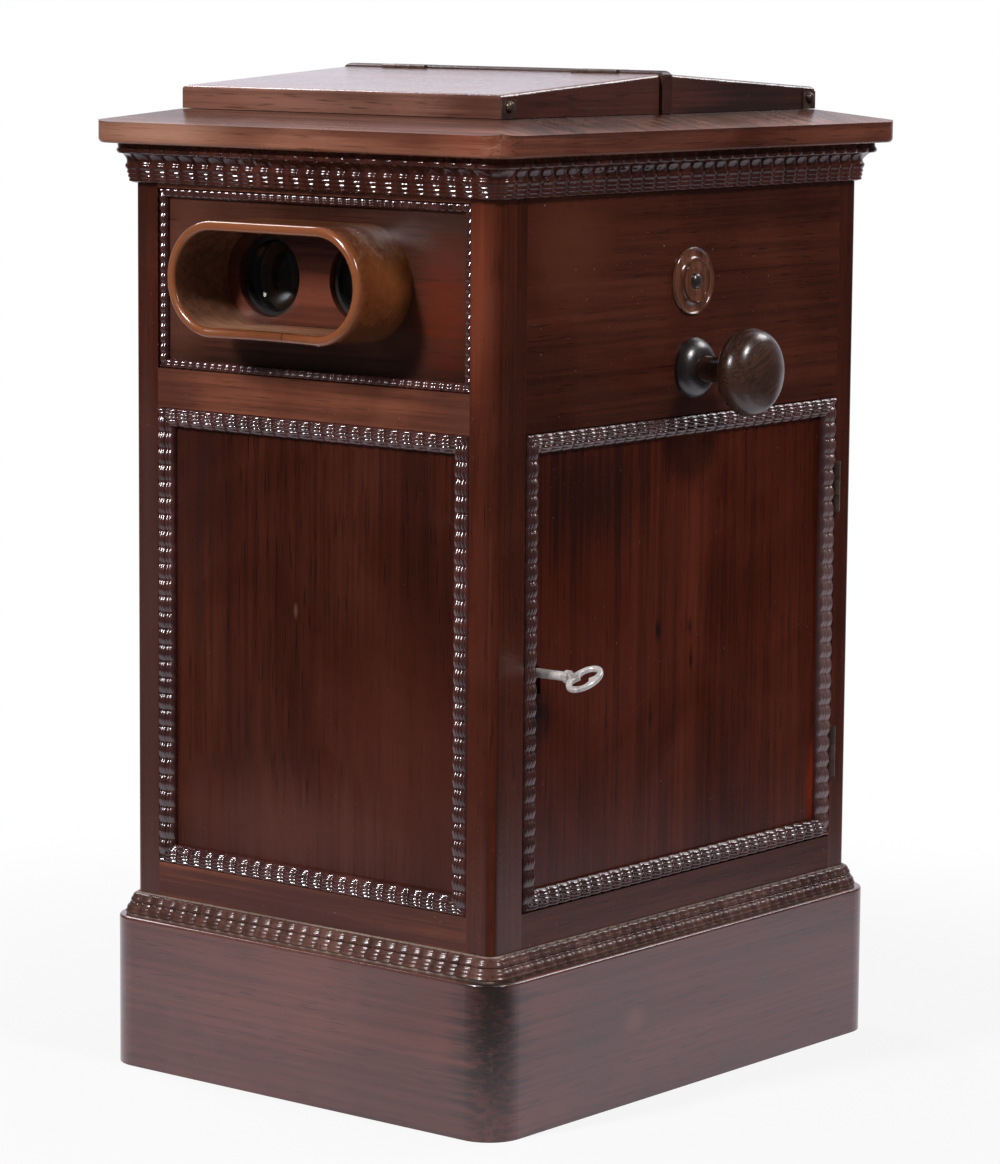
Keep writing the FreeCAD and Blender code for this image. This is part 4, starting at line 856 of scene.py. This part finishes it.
@dataclass
class RippleFrame:
    """Mitred frame of waved, reeded strips round a sunk panel.

    The frame runs along one axis and up from it, and its strips rise outwards. HUMP gives the hump's
    height at places across a strip, as a share of the strip's height, and FADE the share of the ripple.
    """

    HUMP = ((0.0, 0.15, 0.45, 0.8, 1.0), (0.5, 0.68, 0.78, 0.6, 0.3))
    FADE = ((0.0, 0.2, 0.8, 1.0), (0.35, 1.0, 1.0, 0.35))

    name: str
    node: str
    body: str
    along: Triple
    outward: Triple
    strip_width: float = 11.0
    pitch: float = 9.2
    swell: float = 0.85
    step: float = 0.7
    reeds: int = 5
    reed_rise: float = 0.75
    reed_points: int = 6

    def section(self, tall: float) -> tuple[np.ndarray, np.ndarray, np.ndarray]:
        """Section of a strip: a low hump with reeds on it.

        The hump rises from the wall beside the stile to its crest and falls to the low lip beside the
        panel. Each reed is half a sine wave on top of it.

        Args:
            tall: height of the strip.

        Returns:
            Distance inwards, height, and share of the ripple at each point.
        """
        share = np.linspace(0.0, 1.0, self.reeds * self.reed_points + 1)
        height = np.interp(share, *self.HUMP) * tall
        height += reeded(share, self.reeds, self.reed_rise)
        return share * self.strip_width, height, np.interp(share, *self.FADE)

    def strip(self, length: float, tall: float) -> np.ndarray:
        """One mitred strip that lies along its own first axis.

        The height gains swell times the scalloped wave of the distance along the strip over the
        ripple's pitch. At each end the strip is cut off along the mitre.

        Args:
            length: length of the strip's outer edge.
            tall: height of the strip.

        Returns:
            Points of shape rows, columns, 3: along, inwards, out of the panel.
        """
        inward, height, ripple = self.section(tall)
        waves = max(1, round(length / self.pitch))
        share = np.linspace(0.0, 1.0, int(length / self.step))[:, None]
        distance = inward[None, :] + share * (length - 2.0 * inward[None, :])
        wave = self.swell * ripple * scalloped(waves * distance / length)
        top = np.stack([distance, np.broadcast_to(inward, distance.shape), height + wave], -1)
        foot = top[:, [-1, 0]].copy()
        foot[..., 2] = 0.0
        return np.concatenate([top, foot], 1)

    def build(self) -> bpy.types.Object:
        """Builds the four strips and dresses them.

        Returns:
            The object.
        """
        box = NodeBox.of(self.node)
        along, outward = np.array(self.along), np.array(self.outward)
        upward = np.cross(outward, along)
        width, height, tall = (box.size @ np.abs(axis) for axis in (along, upward, outward))
        back = box.middle - outward * tall / 2
        sides = (
            (along, upward, width, height),
            (upward, -along, height, width),
            (-along, -upward, width, height),
            (-upward, along, height, width),
        )
        parts = MeshParts()
        for run, inward, length, across in sides:
            corner = back - run * length / 2 - inward * across / 2
            sheet = corner + self.strip(length, tall) @ np.stack([run, inward, outward])
            parts.add(sheet, loop_columns=True, capped=True)
        return parts.piece(self.name, self.body, [Finish.RIPPLE], (self.node,))


@dataclass
class RippleBelt:
    """Waved moulding that runs round the cabinet's posts, with rounded corners.

    The last EDGE_SPANS spans of its section, over the back, and the first one are plain edges.
    """

    EDGE_SPANS = 4
    POST = "post_front_right"

    name: str
    node: str
    pitch: float
    step: float
    swell: float
    corner: float = 5.0
    corner_points: int = 12

    def path(self, half_width: float, half_depth: float) -> tuple[np.ndarray, np.ndarray, np.ndarray]:
        """Outline of the cabinet: four straight runs and four quarter circles.

        Args:
            half_width: half the cabinet's width.
            half_depth: half the cabinet's depth.

        Returns:
            Share of the way round at each point, the points, and the directions straight out.
        """
        run_x = half_width - self.corner
        run_y = half_depth - self.corner
        arc = np.linspace(0.0, math.pi / 2, self.corner_points + 2)[1:-1]
        bend = np.stack([np.cos(arc), np.sin(arc)], -1)
        points, normals = [], []
        for quarter in range(4):
            turn = np.array([[0, 1], [-1, 0]]) if quarter % 2 else np.eye(2)
            sign = 1.0 if quarter < 2 else -1.0
            side, reach = (run_y, run_x) if quarter % 2 == 0 else (run_x, run_y)
            along = np.linspace(-side, side, int(2 * side / self.step))
            straight = np.stack([np.full_like(along, reach + self.corner), along], -1)
            curve = np.array([reach, side]) + self.corner * bend
            flat = np.broadcast_to([1.0, 0.0], straight.shape)
            points.append(sign * np.concatenate([straight, curve]) @ turn)
            normals.append(sign * np.concatenate([flat, bend]) @ turn)
        outline = np.concatenate(points)
        steps = np.linalg.norm(np.diff(outline, axis=0, append=outline[:1]), axis=1)
        distance = np.cumsum(steps)
        return (distance - steps) / distance[-1], outline, np.concatenate(normals)

    def section(self, tall: float) -> tuple[np.ndarray, np.ndarray, np.ndarray]:
        """Section from the foot to the crown, the share of the ripple at each point, and its lag."""
        raise NotImplementedError

    def finishes(self) -> list[Finish]:
        """Finishes of the moulding and of its plain edges."""
        return [Finish.CORNICE_RIPPLE]

    def build(self) -> bpy.types.Object:
        """Carries the section round the outline.

        Each point of the section moves straight out by its swell times the scalloped wave of the
        distance over the ripple's pitch, less its lag.

        Returns:
            The object.
        """
        box, post = NodeBox.of(self.node), NodeBox.of(self.POST)
        half_width, half_depth = post.high[0], -post.low[1]
        way_round, outline, normal = self.path(half_width, half_depth)
        section, ripple, lag = self.section(box.size[2])
        waves = round(4.0 * (half_width + half_depth) / self.pitch)
        wave = scalloped(waves * way_round[:, None] - lag[None, :])
        out = section[None, :, 0] + self.swell * ripple[None, :] * wave
        plan = outline[:, None, :] + normal[:, None, :] * out[..., None]
        height = np.broadcast_to(box.low[2] + section[None, :, 1:], plan.shape[:2] + (1,))
        slots = np.zeros(len(section), int)
        slots[:1] = slots[-self.EDGE_SPANS:] = len(self.finishes()) - 1
        parts = MeshParts()
        parts.add(np.concatenate([plan, height], -1), loop_rows=True, loop_columns=True, slot=slots)
        return parts.piece(self.name, "cabinet", self.finishes(), (self.node,))


@dataclass
class Cornice(RippleBelt):
    """Moulding under the top board: a tall reeded bead, a hollow and a rounded lip.

    A place on the section is a distance out and a share of the height. FACE is the upright face of the
    bead: shares of its height, and the distance out there. RIPPLE and LAG are the share of the ripple
    and its lag where the bead, the hollow, the lip and the back begin and end.
    """

    FACE = ((0.0, 0.08, 0.5, 0.9, 1.0), (1.3, 3.8, 4.6, 5.4, 5.2))
    RIPPLE = ((0.4, 1.0), (1.0, 0.5), (0.6, 0.5), (0.0, 0.0))
    LAG = ((0.0, 0.0), (0.0, -0.43), (-0.43, -0.43), (0.0, 0.0))

    neck: Pair = (5.2, 0.5)
    shoulder: Pair = (10.6, 0.74)
    crown: Pair = (11.4, 0.88)
    fine_reeds: int = 3
    fine_rise: float = 0.6
    fine_share: float = 0.64
    large_rise: float = 0.8
    hollow_sag: float = 1.4
    lip_rise: float = 1.2
    bead_points: int = 33
    arch_points: int = 10

    def section(self, tall: float) -> tuple[np.ndarray, np.ndarray, np.ndarray]:
        """Section from the foot to the crown.

        The bead is an upright face with three fine reeds and a larger one, each half a sine wave, the
        hollow a half ellipse that bends in, and the lip one that bends out. The ripple of the lip lags
        behind the bead's.

        Args:
            tall: height of the moulding.

        Returns:
            Points as distance out and height, the share of the ripple at each, and its lag in pitches.
        """
        neck, shoulder, crown = np.array([self.neck, self.shoulder, self.crown]) * [1.0, tall]
        along = np.linspace(0.0, 1.0, self.bead_points)
        fine = reeded(along / self.fine_share, self.fine_reeds, self.fine_rise)
        large = reeded((along - self.fine_share) / (1.0 - self.fine_share), 1, self.large_rise)
        face = np.interp(along, *self.FACE) + np.where(along < self.fine_share, fine, large)
        bead = np.stack([face, neck[1] * along], -1)
        few = self.arch_points
        hollow = arched(neck, shoulder, self.hollow_sag, few + 1)[1:]
        lip = arched(shoulder, crown, -self.lip_rise, few + 1)[1:]
        back = np.array([[crown[0], tall], [0.0, tall], [0.0, 0.0]])
        section = np.concatenate([bead, hollow, lip, back])
        counts = (along.size, few, few, len(back))
        ripple = [np.linspace(*ends, count) for ends, count in zip(self.RIPPLE, counts)]
        lag = [np.linspace(*ends, count) for ends, count in zip(self.LAG, counts)]
        return section, np.concatenate(ripple), np.concatenate(lag)


@dataclass
class BaseMoulding(RippleBelt):
    """Moulding on the plinth: a swelling foot, a neck and a small bead.

    A place on the section is a distance out and a share of the height.
    """

    toe: Pair = (7.6, 0.08)
    neck: Pair = (4.0, 0.56)
    crown: Pair = (1.4, 0.95)
    fillet: float = 1.2
    foot_rise: float = 0.7
    foot_reeds: int = 3
    bead_rise: float = 1.1
    bead_reeds: int = 2
    reed_rise: float = 0.4
    ripple_ends: Pair = (0.4, 0.9)
    arch_points: int = 19

    def finishes(self) -> list[Finish]:
        """Finishes of the moulding and of its bare edges."""
        return [Finish.BASE_RIPPLE, Finish.BARE_EDGE]

    def section(self, tall: float) -> tuple[np.ndarray, np.ndarray, np.ndarray]:
        """Section from the foot to the crown.

        The foot is a half ellipse with three reeds, each half a sine wave, over a low bare edge, and
        the bead above the neck is one with two reeds under a narrow bare fillet.

        Args:
            tall: height of the moulding.

        Returns:
            Points as distance out and height, the share of the ripple at each, and its lag in pitches.
        """
        toe, neck, crown = np.array([self.toe, self.neck, self.crown]) * [1.0, tall]
        along = np.linspace(0.0, 1.0, self.arch_points)
        foot = arched(toe, neck, -self.foot_rise, along.size)
        foot[:, 0] += reeded(along, self.foot_reeds, self.reed_rise)
        bead = arched(neck, crown, -self.bead_rise, along.size)
        bead[:, 0] += reeded(along, self.bead_reeds, self.reed_rise)
        back = np.array([[self.fillet, tall], [0.0, tall], [0.0, 0.0]])
        section = np.concatenate([[toe * [1.0, 0.0]], foot, bead[1:], back])
        low, high = self.ripple_ends
        rising, falling = np.linspace(low, high, along.size), np.linspace(high, low, along.size - 1)
        ripple = np.concatenate([[0.0], rising, falling, np.zeros(len(back))])
        return section, ripple, np.zeros(len(section))


@dataclass
class FocusDial:
    """Turned dial on the right side: a rounded ring, a dish and a dark button at its centre.

    A place on the profile is a distance out and a radius. The rim's radii are counted in from the edge.
    """

    rim: tuple[Pair, ...] = ((0.0, 0.0), (0.88, 0.0), (1.2, 0.5), (1.6, 0.35))
    ring_edge: Pair = (3.6, 11.8)
    step: Pair = (2.7, 11.3)
    ring_rise: float = 2.3
    dish_sag: float = 0.6
    dish_rings: float = 0.16
    button_radius: float = 4.4
    button_rise: float = 2.4
    button_turn: float = 0.49 * math.pi
    ring_points: int = 20
    dish_points: int = 25
    button_points: int = 9
    turns: int = 96

    def build(self) -> bpy.types.Object:
        """Turns the profile about the dial's axis.

        The ring is a half ellipse over the chord from the rim to its inner edge, the dish one that
        bends in under two turns of a sine wave, and the button a quarter ellipse to the axis.

        Returns:
            The object.
        """
        box = NodeBox.of("focus_dial")
        rim = np.array(self.rim) * [1.0, -1.0] + [0.0, box.size[1] / 2]
        step = np.array(self.step)
        ring = arched(rim[-1], np.array(self.ring_edge), -self.ring_rise, self.ring_points + 1)[1:]
        dish = arched(step, np.array([step[0], self.button_radius]), self.dish_sag, self.dish_points)
        dish[:, 0] += self.dish_rings * np.sin(np.linspace(0.0, 2.0 * FULL_TURN, self.dish_points))
        angle = np.linspace(0.0, self.button_turn, self.button_points + 1)[1:]
        rise = step[0] + self.button_rise * np.sin(angle)
        button = np.stack([rise, self.button_radius * np.cos(angle)], -1)
        profile = np.concatenate([rim, ring, dish, button])
        dark = np.arange(len(profile) - 1)[:, None] >= len(profile) - 1 - len(button)
        parts = MeshParts()
        parts.add(self.turned(profile, box), loop_columns=True, slot=dark.astype(int), capped=True)
        finishes = [Finish.DIAL, Finish.ROSE]
        return parts.piece("turned_focus_dial", "focus", finishes, ("focus_dial",))

    def turned(self, profile: np.ndarray, box: NodeBox) -> np.ndarray:
        """Carries a profile round the axis, across as the sine and up as the cosine of the turn.

        Args:
            profile: points as distance out and radius.
            box: box of the dial, whose back lies on the side of the cabinet.

        Returns:
            Points of shape profile, turns, 3.
        """
        angle = np.linspace(0.0, FULL_TURN, self.turns, endpoint=False)
        out = np.broadcast_to(profile[:, :1], (len(profile), self.turns))
        across = box.middle[1] + profile[:, 1:] * np.sin(angle)
        up = box.middle[2] + profile[:, 1:] * np.cos(angle)
        return np.stack([box.low[0] + out, across, up], -1)


@dataclass
class CardBelt:
    """Endless canvas band over the roller: two straight runs and two half circles."""

    run: float = 207.2
    thickness: float = 0.8
    selvedge: float = 2.0
    selvedge_share: float = 0.7
    bend_points: int = 25
    run_points: int = 40

    def build(self) -> bpy.types.Object:
        """Carries the band's flat section, with thinner edges, round the loop.

        Returns:
            The object.
        """
        box = NodeBox.of("card_belt")
        inner_radius = box.size[1] / 2 - self.thickness
        upper = box.high[2] - box.size[1] / 2
        lower = upper - self.run
        turn = np.linspace(0.0, math.pi, self.bend_points)
        run = np.linspace(lower, upper, self.run_points + 2)[1:-1]
        over = np.stack([np.cos(turn), np.sin(turn)], -1)
        side = np.broadcast_to([1.0, 0.0], (run.size, 2))
        outward = np.concatenate([over, -side, -over, side])
        centre = np.concatenate([np.full_like(turn, upper), run[::-1], np.full_like(turn, lower), run])
        width = box.size[0] / 2
        edge = width - self.selvedge
        across = np.array([-width, -edge, edge, width, width, edge, -edge, -width])
        outer = np.array([self.selvedge_share, 1.0, 1.0, self.selvedge_share])
        radius = inner_radius + np.concatenate([outer, 1.0 - outer]) * self.thickness
        place = outward[:, None, :] * radius[None, :, None]
        level = np.broadcast_to(across, place.shape[:2])
        sheet = np.stack([level, box.middle[1] + place[..., 0], centre[:, None] + place[..., 1]], -1)
        parts = MeshParts()
        parts.add(sheet, loop_rows=True, loop_columns=True)
        band = parts.piece("canvas_card_belt", "cabinet", [Finish.CANVAS], ("card_belt",))
        return band


@dataclass
class Hood:
    """Eyepiece hood: a stadium-shaped wall with a rounded rim, cut back below for the nose."""

    wall: float = 5.5
    rim: float = 2.4
    relief_depth: float = 5.0
    relief_width: float = 84.0
    quarter_points: int = 60
    depth_points: int = 12
    rim_points: int = 7

    def outline(self, width: float, height: float) -> tuple[np.ndarray, np.ndarray]:
        """Middle line of the wall: two half circles joined by two straight runs.

        Args:
            width: width over the wall.
            height: height over the wall.

        Returns:
            Points in X and Z, and the directions straight out of the wall.
        """
        radius = (height - self.wall) / 2
        run = width / 2 - height / 2
        turn = np.linspace(-math.pi / 2, math.pi / 2, self.quarter_points, endpoint=False)
        right = np.stack([np.cos(turn), np.sin(turn)], -1)
        up = np.broadcast_to([0.0, 1.0], right.shape)
        normal = np.concatenate([right, up, -right, -up])
        line = np.linspace(run, -run, self.quarter_points, endpoint=False)
        end = np.full_like(line, run)
        across = np.concatenate([end, line, -end, -line])
        return np.stack([across, np.zeros_like(across)], -1) + normal * radius, normal

    def build(self) -> bpy.types.Object:
        """Carries the wall's section round the outline.

        The section goes out along the outside, round the rim as two quarter circles, and back along
        the inside. The rim lies on a flat plane, and below the middle on an arc that cuts it back.

        Returns:
            The object.
        """
        box = NodeBox.of("eyepiece_hood")
        face = box.high[1]
        points, normal = self.outline(box.size[0], box.size[2])
        half = self.wall / 2
        span = (self.relief_width / 2) ** 2
        curve = (span + self.relief_depth ** 2) / (2 * self.relief_depth)
        dip = np.sqrt(np.maximum(curve ** 2 - points[:, 0] ** 2, 0.0)) - (curve - self.relief_depth)
        cut = np.where(points[:, 1] < 0.0, np.maximum(dip, 0.0), 0.0)
        front = box.low[1] + cut
        turn = np.linspace(0.0, math.pi / 2, self.rim_points)
        rim_offset = half - self.rim + self.rim * np.cos(turn)
        rim_depth = front[:, None] + self.rim * (1.0 - np.sin(turn))
        share = np.linspace(0.0, 1.0, self.depth_points)[:-1]
        wall_depth = face + share * (front[:, None] + self.rim - face)
        side = np.concatenate([np.full_like(share, half), rim_offset])
        offset = np.concatenate([side, -side[::-1]])
        outside = np.concatenate([wall_depth, rim_depth], 1)
        depth = np.concatenate([outside, outside[:, ::-1]], 1)
        plan = points[:, None, :] + normal[:, None, :] * offset[None, :, None]
        sheet = np.stack([plan[..., 0], depth, box.middle[2] + plan[..., 1]], -1)
        lining = np.arange(offset.size) >= offset.size - self.depth_points
        parts = MeshParts()
        parts.add(sheet, loop_rows=True, loop_columns=True, slot=lining.astype(int))
        finishes = [Finish.HOOD, Finish.HOOD_INSIDE]
        return parts.piece("eyepiece_hood_shell", "cabinet", finishes, ("eyepiece_hood",))


@dataclass(frozen=True)
class Lamp:
    """An oblong soft lamp, placed by its direction from the cabinet in degrees; sizes in metres."""

    name: str
    azimuth: float
    elevation: float
    width: float
    height: float
    power: float
    distance: float = 3.0
    aim: Triple = (0.0, 0.0, 0.3)
    tint: Triple = (1.0, 0.98, 1.0)

    def build(self) -> None:
        """Adds the lamp, facing its aim."""
        data = bpy.data.lights.new(self.name, "AREA")
        data.shape = "RECTANGLE"
        data.size = self.width
        data.size_y = self.height
        data.energy = self.power
        data.color = self.tint
        turn, rise = math.radians(self.azimuth), math.radians(self.elevation)
        level = math.cos(rise)
        way = Vector((level * math.cos(turn), level * math.sin(turn), math.sin(rise)))
        lamp = bpy.data.objects.new(self.name, data)
        spin = (-way).to_track_quat("-Z", "Y").to_matrix().to_4x4()
        lamp.matrix_world = Matrix.Translation(Vector(self.aim) + way * self.distance) @ spin
        bpy.context.scene.collection.objects.link(lamp)


@dataclass
class Studio:
    """Pale floor, white surroundings, soft lamps and the camera of the photograph, in metres.

    An edge is where something begins and ends to fade: a distance from the cabinet's middle, or the
    cosine of an angle from an axis.
    """

    camera_place: Triple = (1.5744, -1.9443, 0.6255)
    camera_aim: Triple = (-0.6231, 0.7697, -0.1390)
    camera_roll: float = math.radians(0.463)
    focal_length: float = 134.395
    sensor: float = 36.0
    ambient: float = 0.13
    ambient_tint: Triple = (0.97, 0.97, 1.0)
    dim: float = 0.05
    gloss_axis: Triple = (-0.5, 0.75, 0.43)
    gloss_edge: Pair = (0.58, 0.93)
    gloss_tint: Triple = (0.93, 0.9, 1.0)
    near_way: Triple = (0.62, -0.77, 0.0)
    window_edge: Pair = (0.985, 0.996)
    floor_size: float = 8.0
    floor_tones: tuple[Triple, Triple] = ((178, 178, 180), (186, 186, 188))
    floor_grain: float = 60.0
    table_edge: Pair = (0.45, 1.0)
    near_edge: Pair = (0.5, 0.85)
    near_fade: Pair = (0.24, 0.55)
    far_edge: Pair = (-0.88, -0.5)
    shadow_edge: Pair = (0.3, 0.75)
    shadow_veil: float = 0.86
    lamps: tuple[Lamp, ...] = (
        Lamp("key_lamp", -100.0, 34.0, 0.32, 0.7, 98.0),
        Lamp("side_lamp", -4.0, 40.0, 0.4, 0.5, 52.0),
        Lamp("left_lamp", 172.0, 42.0, 1.0, 1.0, 40.0),
        Lamp("back_lamp", 68.0, 38.0, 1.0, 1.0, 30.0),
    )

    def build(self) -> None:
        """Builds the studio."""
        self.build_camera()
        self.build_world()
        self.build_floor()
        for lamp in self.lamps:
            lamp.build()

    def build_camera(self) -> None:
        """Puts the camera where the photograph was taken from."""
        forward = Vector(self.camera_aim).normalized()
        right = forward.cross(Vector((0.0, 0.0, 1.0))).normalized()
        up = right.cross(forward)
        cosine, sine = math.cos(self.camera_roll), math.sin(self.camera_roll)
        side = right * cosine + up * sine
        head = up * cosine - right * sine
        data = bpy.data.cameras.new("photo_camera")
        data.sensor_fit = "VERTICAL"
        data.sensor_height = self.sensor
        data.lens = self.focal_length
        camera = bpy.data.objects.new("photo_camera", data)
        turn = Matrix((side, head, -forward)).transposed().to_4x4()
        camera.matrix_world = Matrix.Translation(self.camera_place) @ turn
        bpy.context.scene.collection.objects.link(camera)
        bpy.context.scene.camera = camera

    def build_world(self) -> None:
        """White for the camera, and in gloss and glass white behind the cabinet and dim in front of it.

        What lights the object is an even, softer white. The gloss follows the direction of the ray
        along an axis that points up behind the cabinet, and a small window is white in front.
        """
        world = bpy.data.worlds.new("studio_white")
        bpy.context.scene.world = world
        tree = NodeTree(world, "Generated")
        path = tree.node("LightPath", {})
        light = tree.nodes["Background"]
        tree.give(light.inputs["Color"], self.ambient_tint + (1.0,))
        tree.give(light.inputs["Strength"], self.ambient)
        behind = tree.span(tree.towards(self.gloss_axis), *self.gloss_edge, self.dim)
        window = tree.span(tree.towards(self.near_way), *self.window_edge)
        strength = tree.larger(tree.larger(behind, path.outputs["Is Camera Ray"]), window)
        white = tree.node("Background", {"Color": self.tinted(tree, path), "Strength": strength})
        tree.show("World Output", self.seen(tree, path), light.outputs[0], white.outputs[0])

    def tinted(self, tree: NodeTree, path: bpy.types.Node) -> Socket:
        """White for a ray of the camera, and the gloss's tint for any other ray."""
        return tree.mixed(path.outputs["Is Camera Ray"], self.gloss_tint + (1.0,), WHITE)

    def seen(self, tree: NodeTree, path: bpy.types.Node) -> Socket:
        """Value that is 1 for a ray of the camera, of gloss or through glass, and otherwise 0."""
        gloss = tree.larger(path.outputs["Is Glossy Ray"], path.outputs["Is Transmission Ray"])
        return tree.larger(gloss, path.outputs["Is Camera Ray"])

    def build_floor(self) -> None:
        """Lays the floor, which is no piece of the part."""
        half = self.floor_size / 2
        mesh = bpy.data.meshes.new("studio_floor")
        corners = [(-half, -half, 0.0), (half, -half, 0.0), (half, half, 0.0), (-half, half, 0.0)]
        mesh.from_pydata(corners, [], [(0, 1, 2, 3)])
        mesh.materials.append(self.floor_material())
        floor = bpy.data.objects.new("studio_floor", mesh)
        bpy.context.scene.collection.objects.link(floor)

    def floor_material(self) -> bpy.types.Material:
        """Pale paper that keeps a soft shadow and fades to white further out.

        In gloss it is a white table round the cabinet, which ends in the dim room and on the side that
        the photograph was taken from, and white again behind the cabinet.

        Returns:
            The material.
        """
        tree = ShaderTree("floor_paper")
        path = tree.node("LightPath", {})
        grain = tree.noise(tree.even(self.floor_grain), detail=4.0)
        paper = tree.mixed(grain, *(linear(tone) for tone in self.floor_tones))
        tree.set(Base_Color=paper, Roughness=0.9, Specular_IOR_Level=0.1)
        far = tree.node("VectorMath", {0: tree.place}, operation="LENGTH").outputs["Value"]
        turn = tree.worked("DIVIDE", tree.towards(self.near_way), far)
        table = tree.span(far, *self.table_edge, 1.0, self.dim)
        near_side = tree.span(turn, *self.near_edge, 1.0, self.dim)
        near_foot = tree.span(far, *self.near_fade, 1.0, self.dim)
        behind = tree.span(turn, *self.far_edge, 1.0, self.dim)
        table = tree.worked("MULTIPLY", table, tree.larger(near_side, near_foot))
        strength = tree.larger(tree.larger(table, behind), path.outputs["Is Camera Ray"])
        glow = tree.node("Emission", {"Color": self.tinted(tree, path), "Strength": strength})
        veil = tree.span(far, *self.shadow_edge, self.shadow_veil)
        share = tree.worked("MULTIPLY", veil, self.seen(tree, path))
        tree.show("Material Output", share, tree.shader.outputs[0], glow.outputs[0])
        return tree.material


@dataclass
class Cabinet:
    """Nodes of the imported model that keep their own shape, and the finish of each."""

    finishes: dict[Finish, tuple[str, ...]] = field(
        default_factory=lambda: {
            Finish.DOOR: ("door_panel",),
            Finish.PANEL: ("front_lower_panel", "left_lower_panel", "back_lower_panel"),
            Finish.POST: ("post_front_right", "post_front_left", "post_back_right", "post_back_left"),
            Finish.RAIL: ("front_rails", "back_rails", "back_upper_panel"),
            Finish.SIDE_BOARD: ("right_upper_panel", "left_upper_panel", "side_rails"),
            Finish.EYEPIECE_PANEL: ("eyepiece_panel",),
            Finish.TOP: ("top_board",),
            Finish.RIDGE: ("ridge_board",),
            Finish.FLAP: ("front_flap_frame", "front_flap_panel", "rear_flap_frame", "rear_flap_panel"),
            Finish.PLINTH: ("plinth_sides", "plinth_ends"),
            Finish.KNOB: ("winder_knob",),
            Finish.ROSE: ("knob_rose",),
            Finish.INSIDE: (
                "base_board", "bottom_board", "plinth_blocks", "winder_roller", "lens_board",
            ),
            Finish.BLACK_BOARD: ("septum", "lens_cells"),
            Finish.BRASS: ("shaft_bushes", "focus_bracket", "focus_rack", "focus_pinion"),
            Finish.BRONZE: (
                "post_hinge_leaves", "door_hinge_leaves", "ridge_hinge_leaves", "front_flap_fittings",
                "rear_flap_fittings",
            ),
            Finish.IRON: ("lock_case", "lock_bolt", "lock_keeper"),
            Finish.STEEL: ("key",),
            Finish.SHAFT: ("winder_shaft",),
            Finish.TIN: ("card_holders",),
            Finish.CARD: ("view_cards",),
            Finish.MIRROR: ("front_flap_mirror", "rear_flap_mirror"),
            Finish.LENS: ("lenses",),
        }
    )

    def dress(self) -> None:
        """Gives every kept node its finish."""
        for finish, nodes in self.finishes.items():
            for node in nodes:
                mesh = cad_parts[node].data
                mesh.materials.clear()
                mesh.materials.append(finish.material())
                LOG.info("%s: %s", node, finish.value.name)


def main() -> None:
    """Builds the studio, the mouldings, the hood, the dial and the belt, and dresses the kept nodes."""
    logging.basicConfig(level=logging.INFO, format="%(message)s")
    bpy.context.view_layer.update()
    bpy.context.scene.view_settings.view_transform = "Standard"
    Studio().build()
    Cabinet().dress()
    RippleFrame("front_ripple_frame", "front_panel_moulding", "cabinet", RIGHT, FRONT).build()
    RippleFrame("door_ripple_frame", "door_moulding", "door", BACK, RIGHT).build()
    RippleFrame("left_ripple_frame", "left_panel_moulding", "cabinet", FRONT, LEFT).build()
    RippleFrame(
        "eyepiece_ripple_beading", "eyepiece_beading", "cabinet", RIGHT, FRONT, strip_width=5.5,
        pitch=5.6, swell=0.5, step=0.6, reeds=2, reed_rise=0.4, reed_points=7,
    ).build()
    Cornice("ripple_cornice", "cornice", pitch=11.2, step=0.8, swell=1.0).build()
    BaseMoulding("ripple_base_moulding", "base_moulding", pitch=9.2, step=0.75, swell=0.75).build()
    Hood().build()
    FocusDial().build()
    CardBelt().build()
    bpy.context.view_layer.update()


if __name__ == "__main__":
    main()
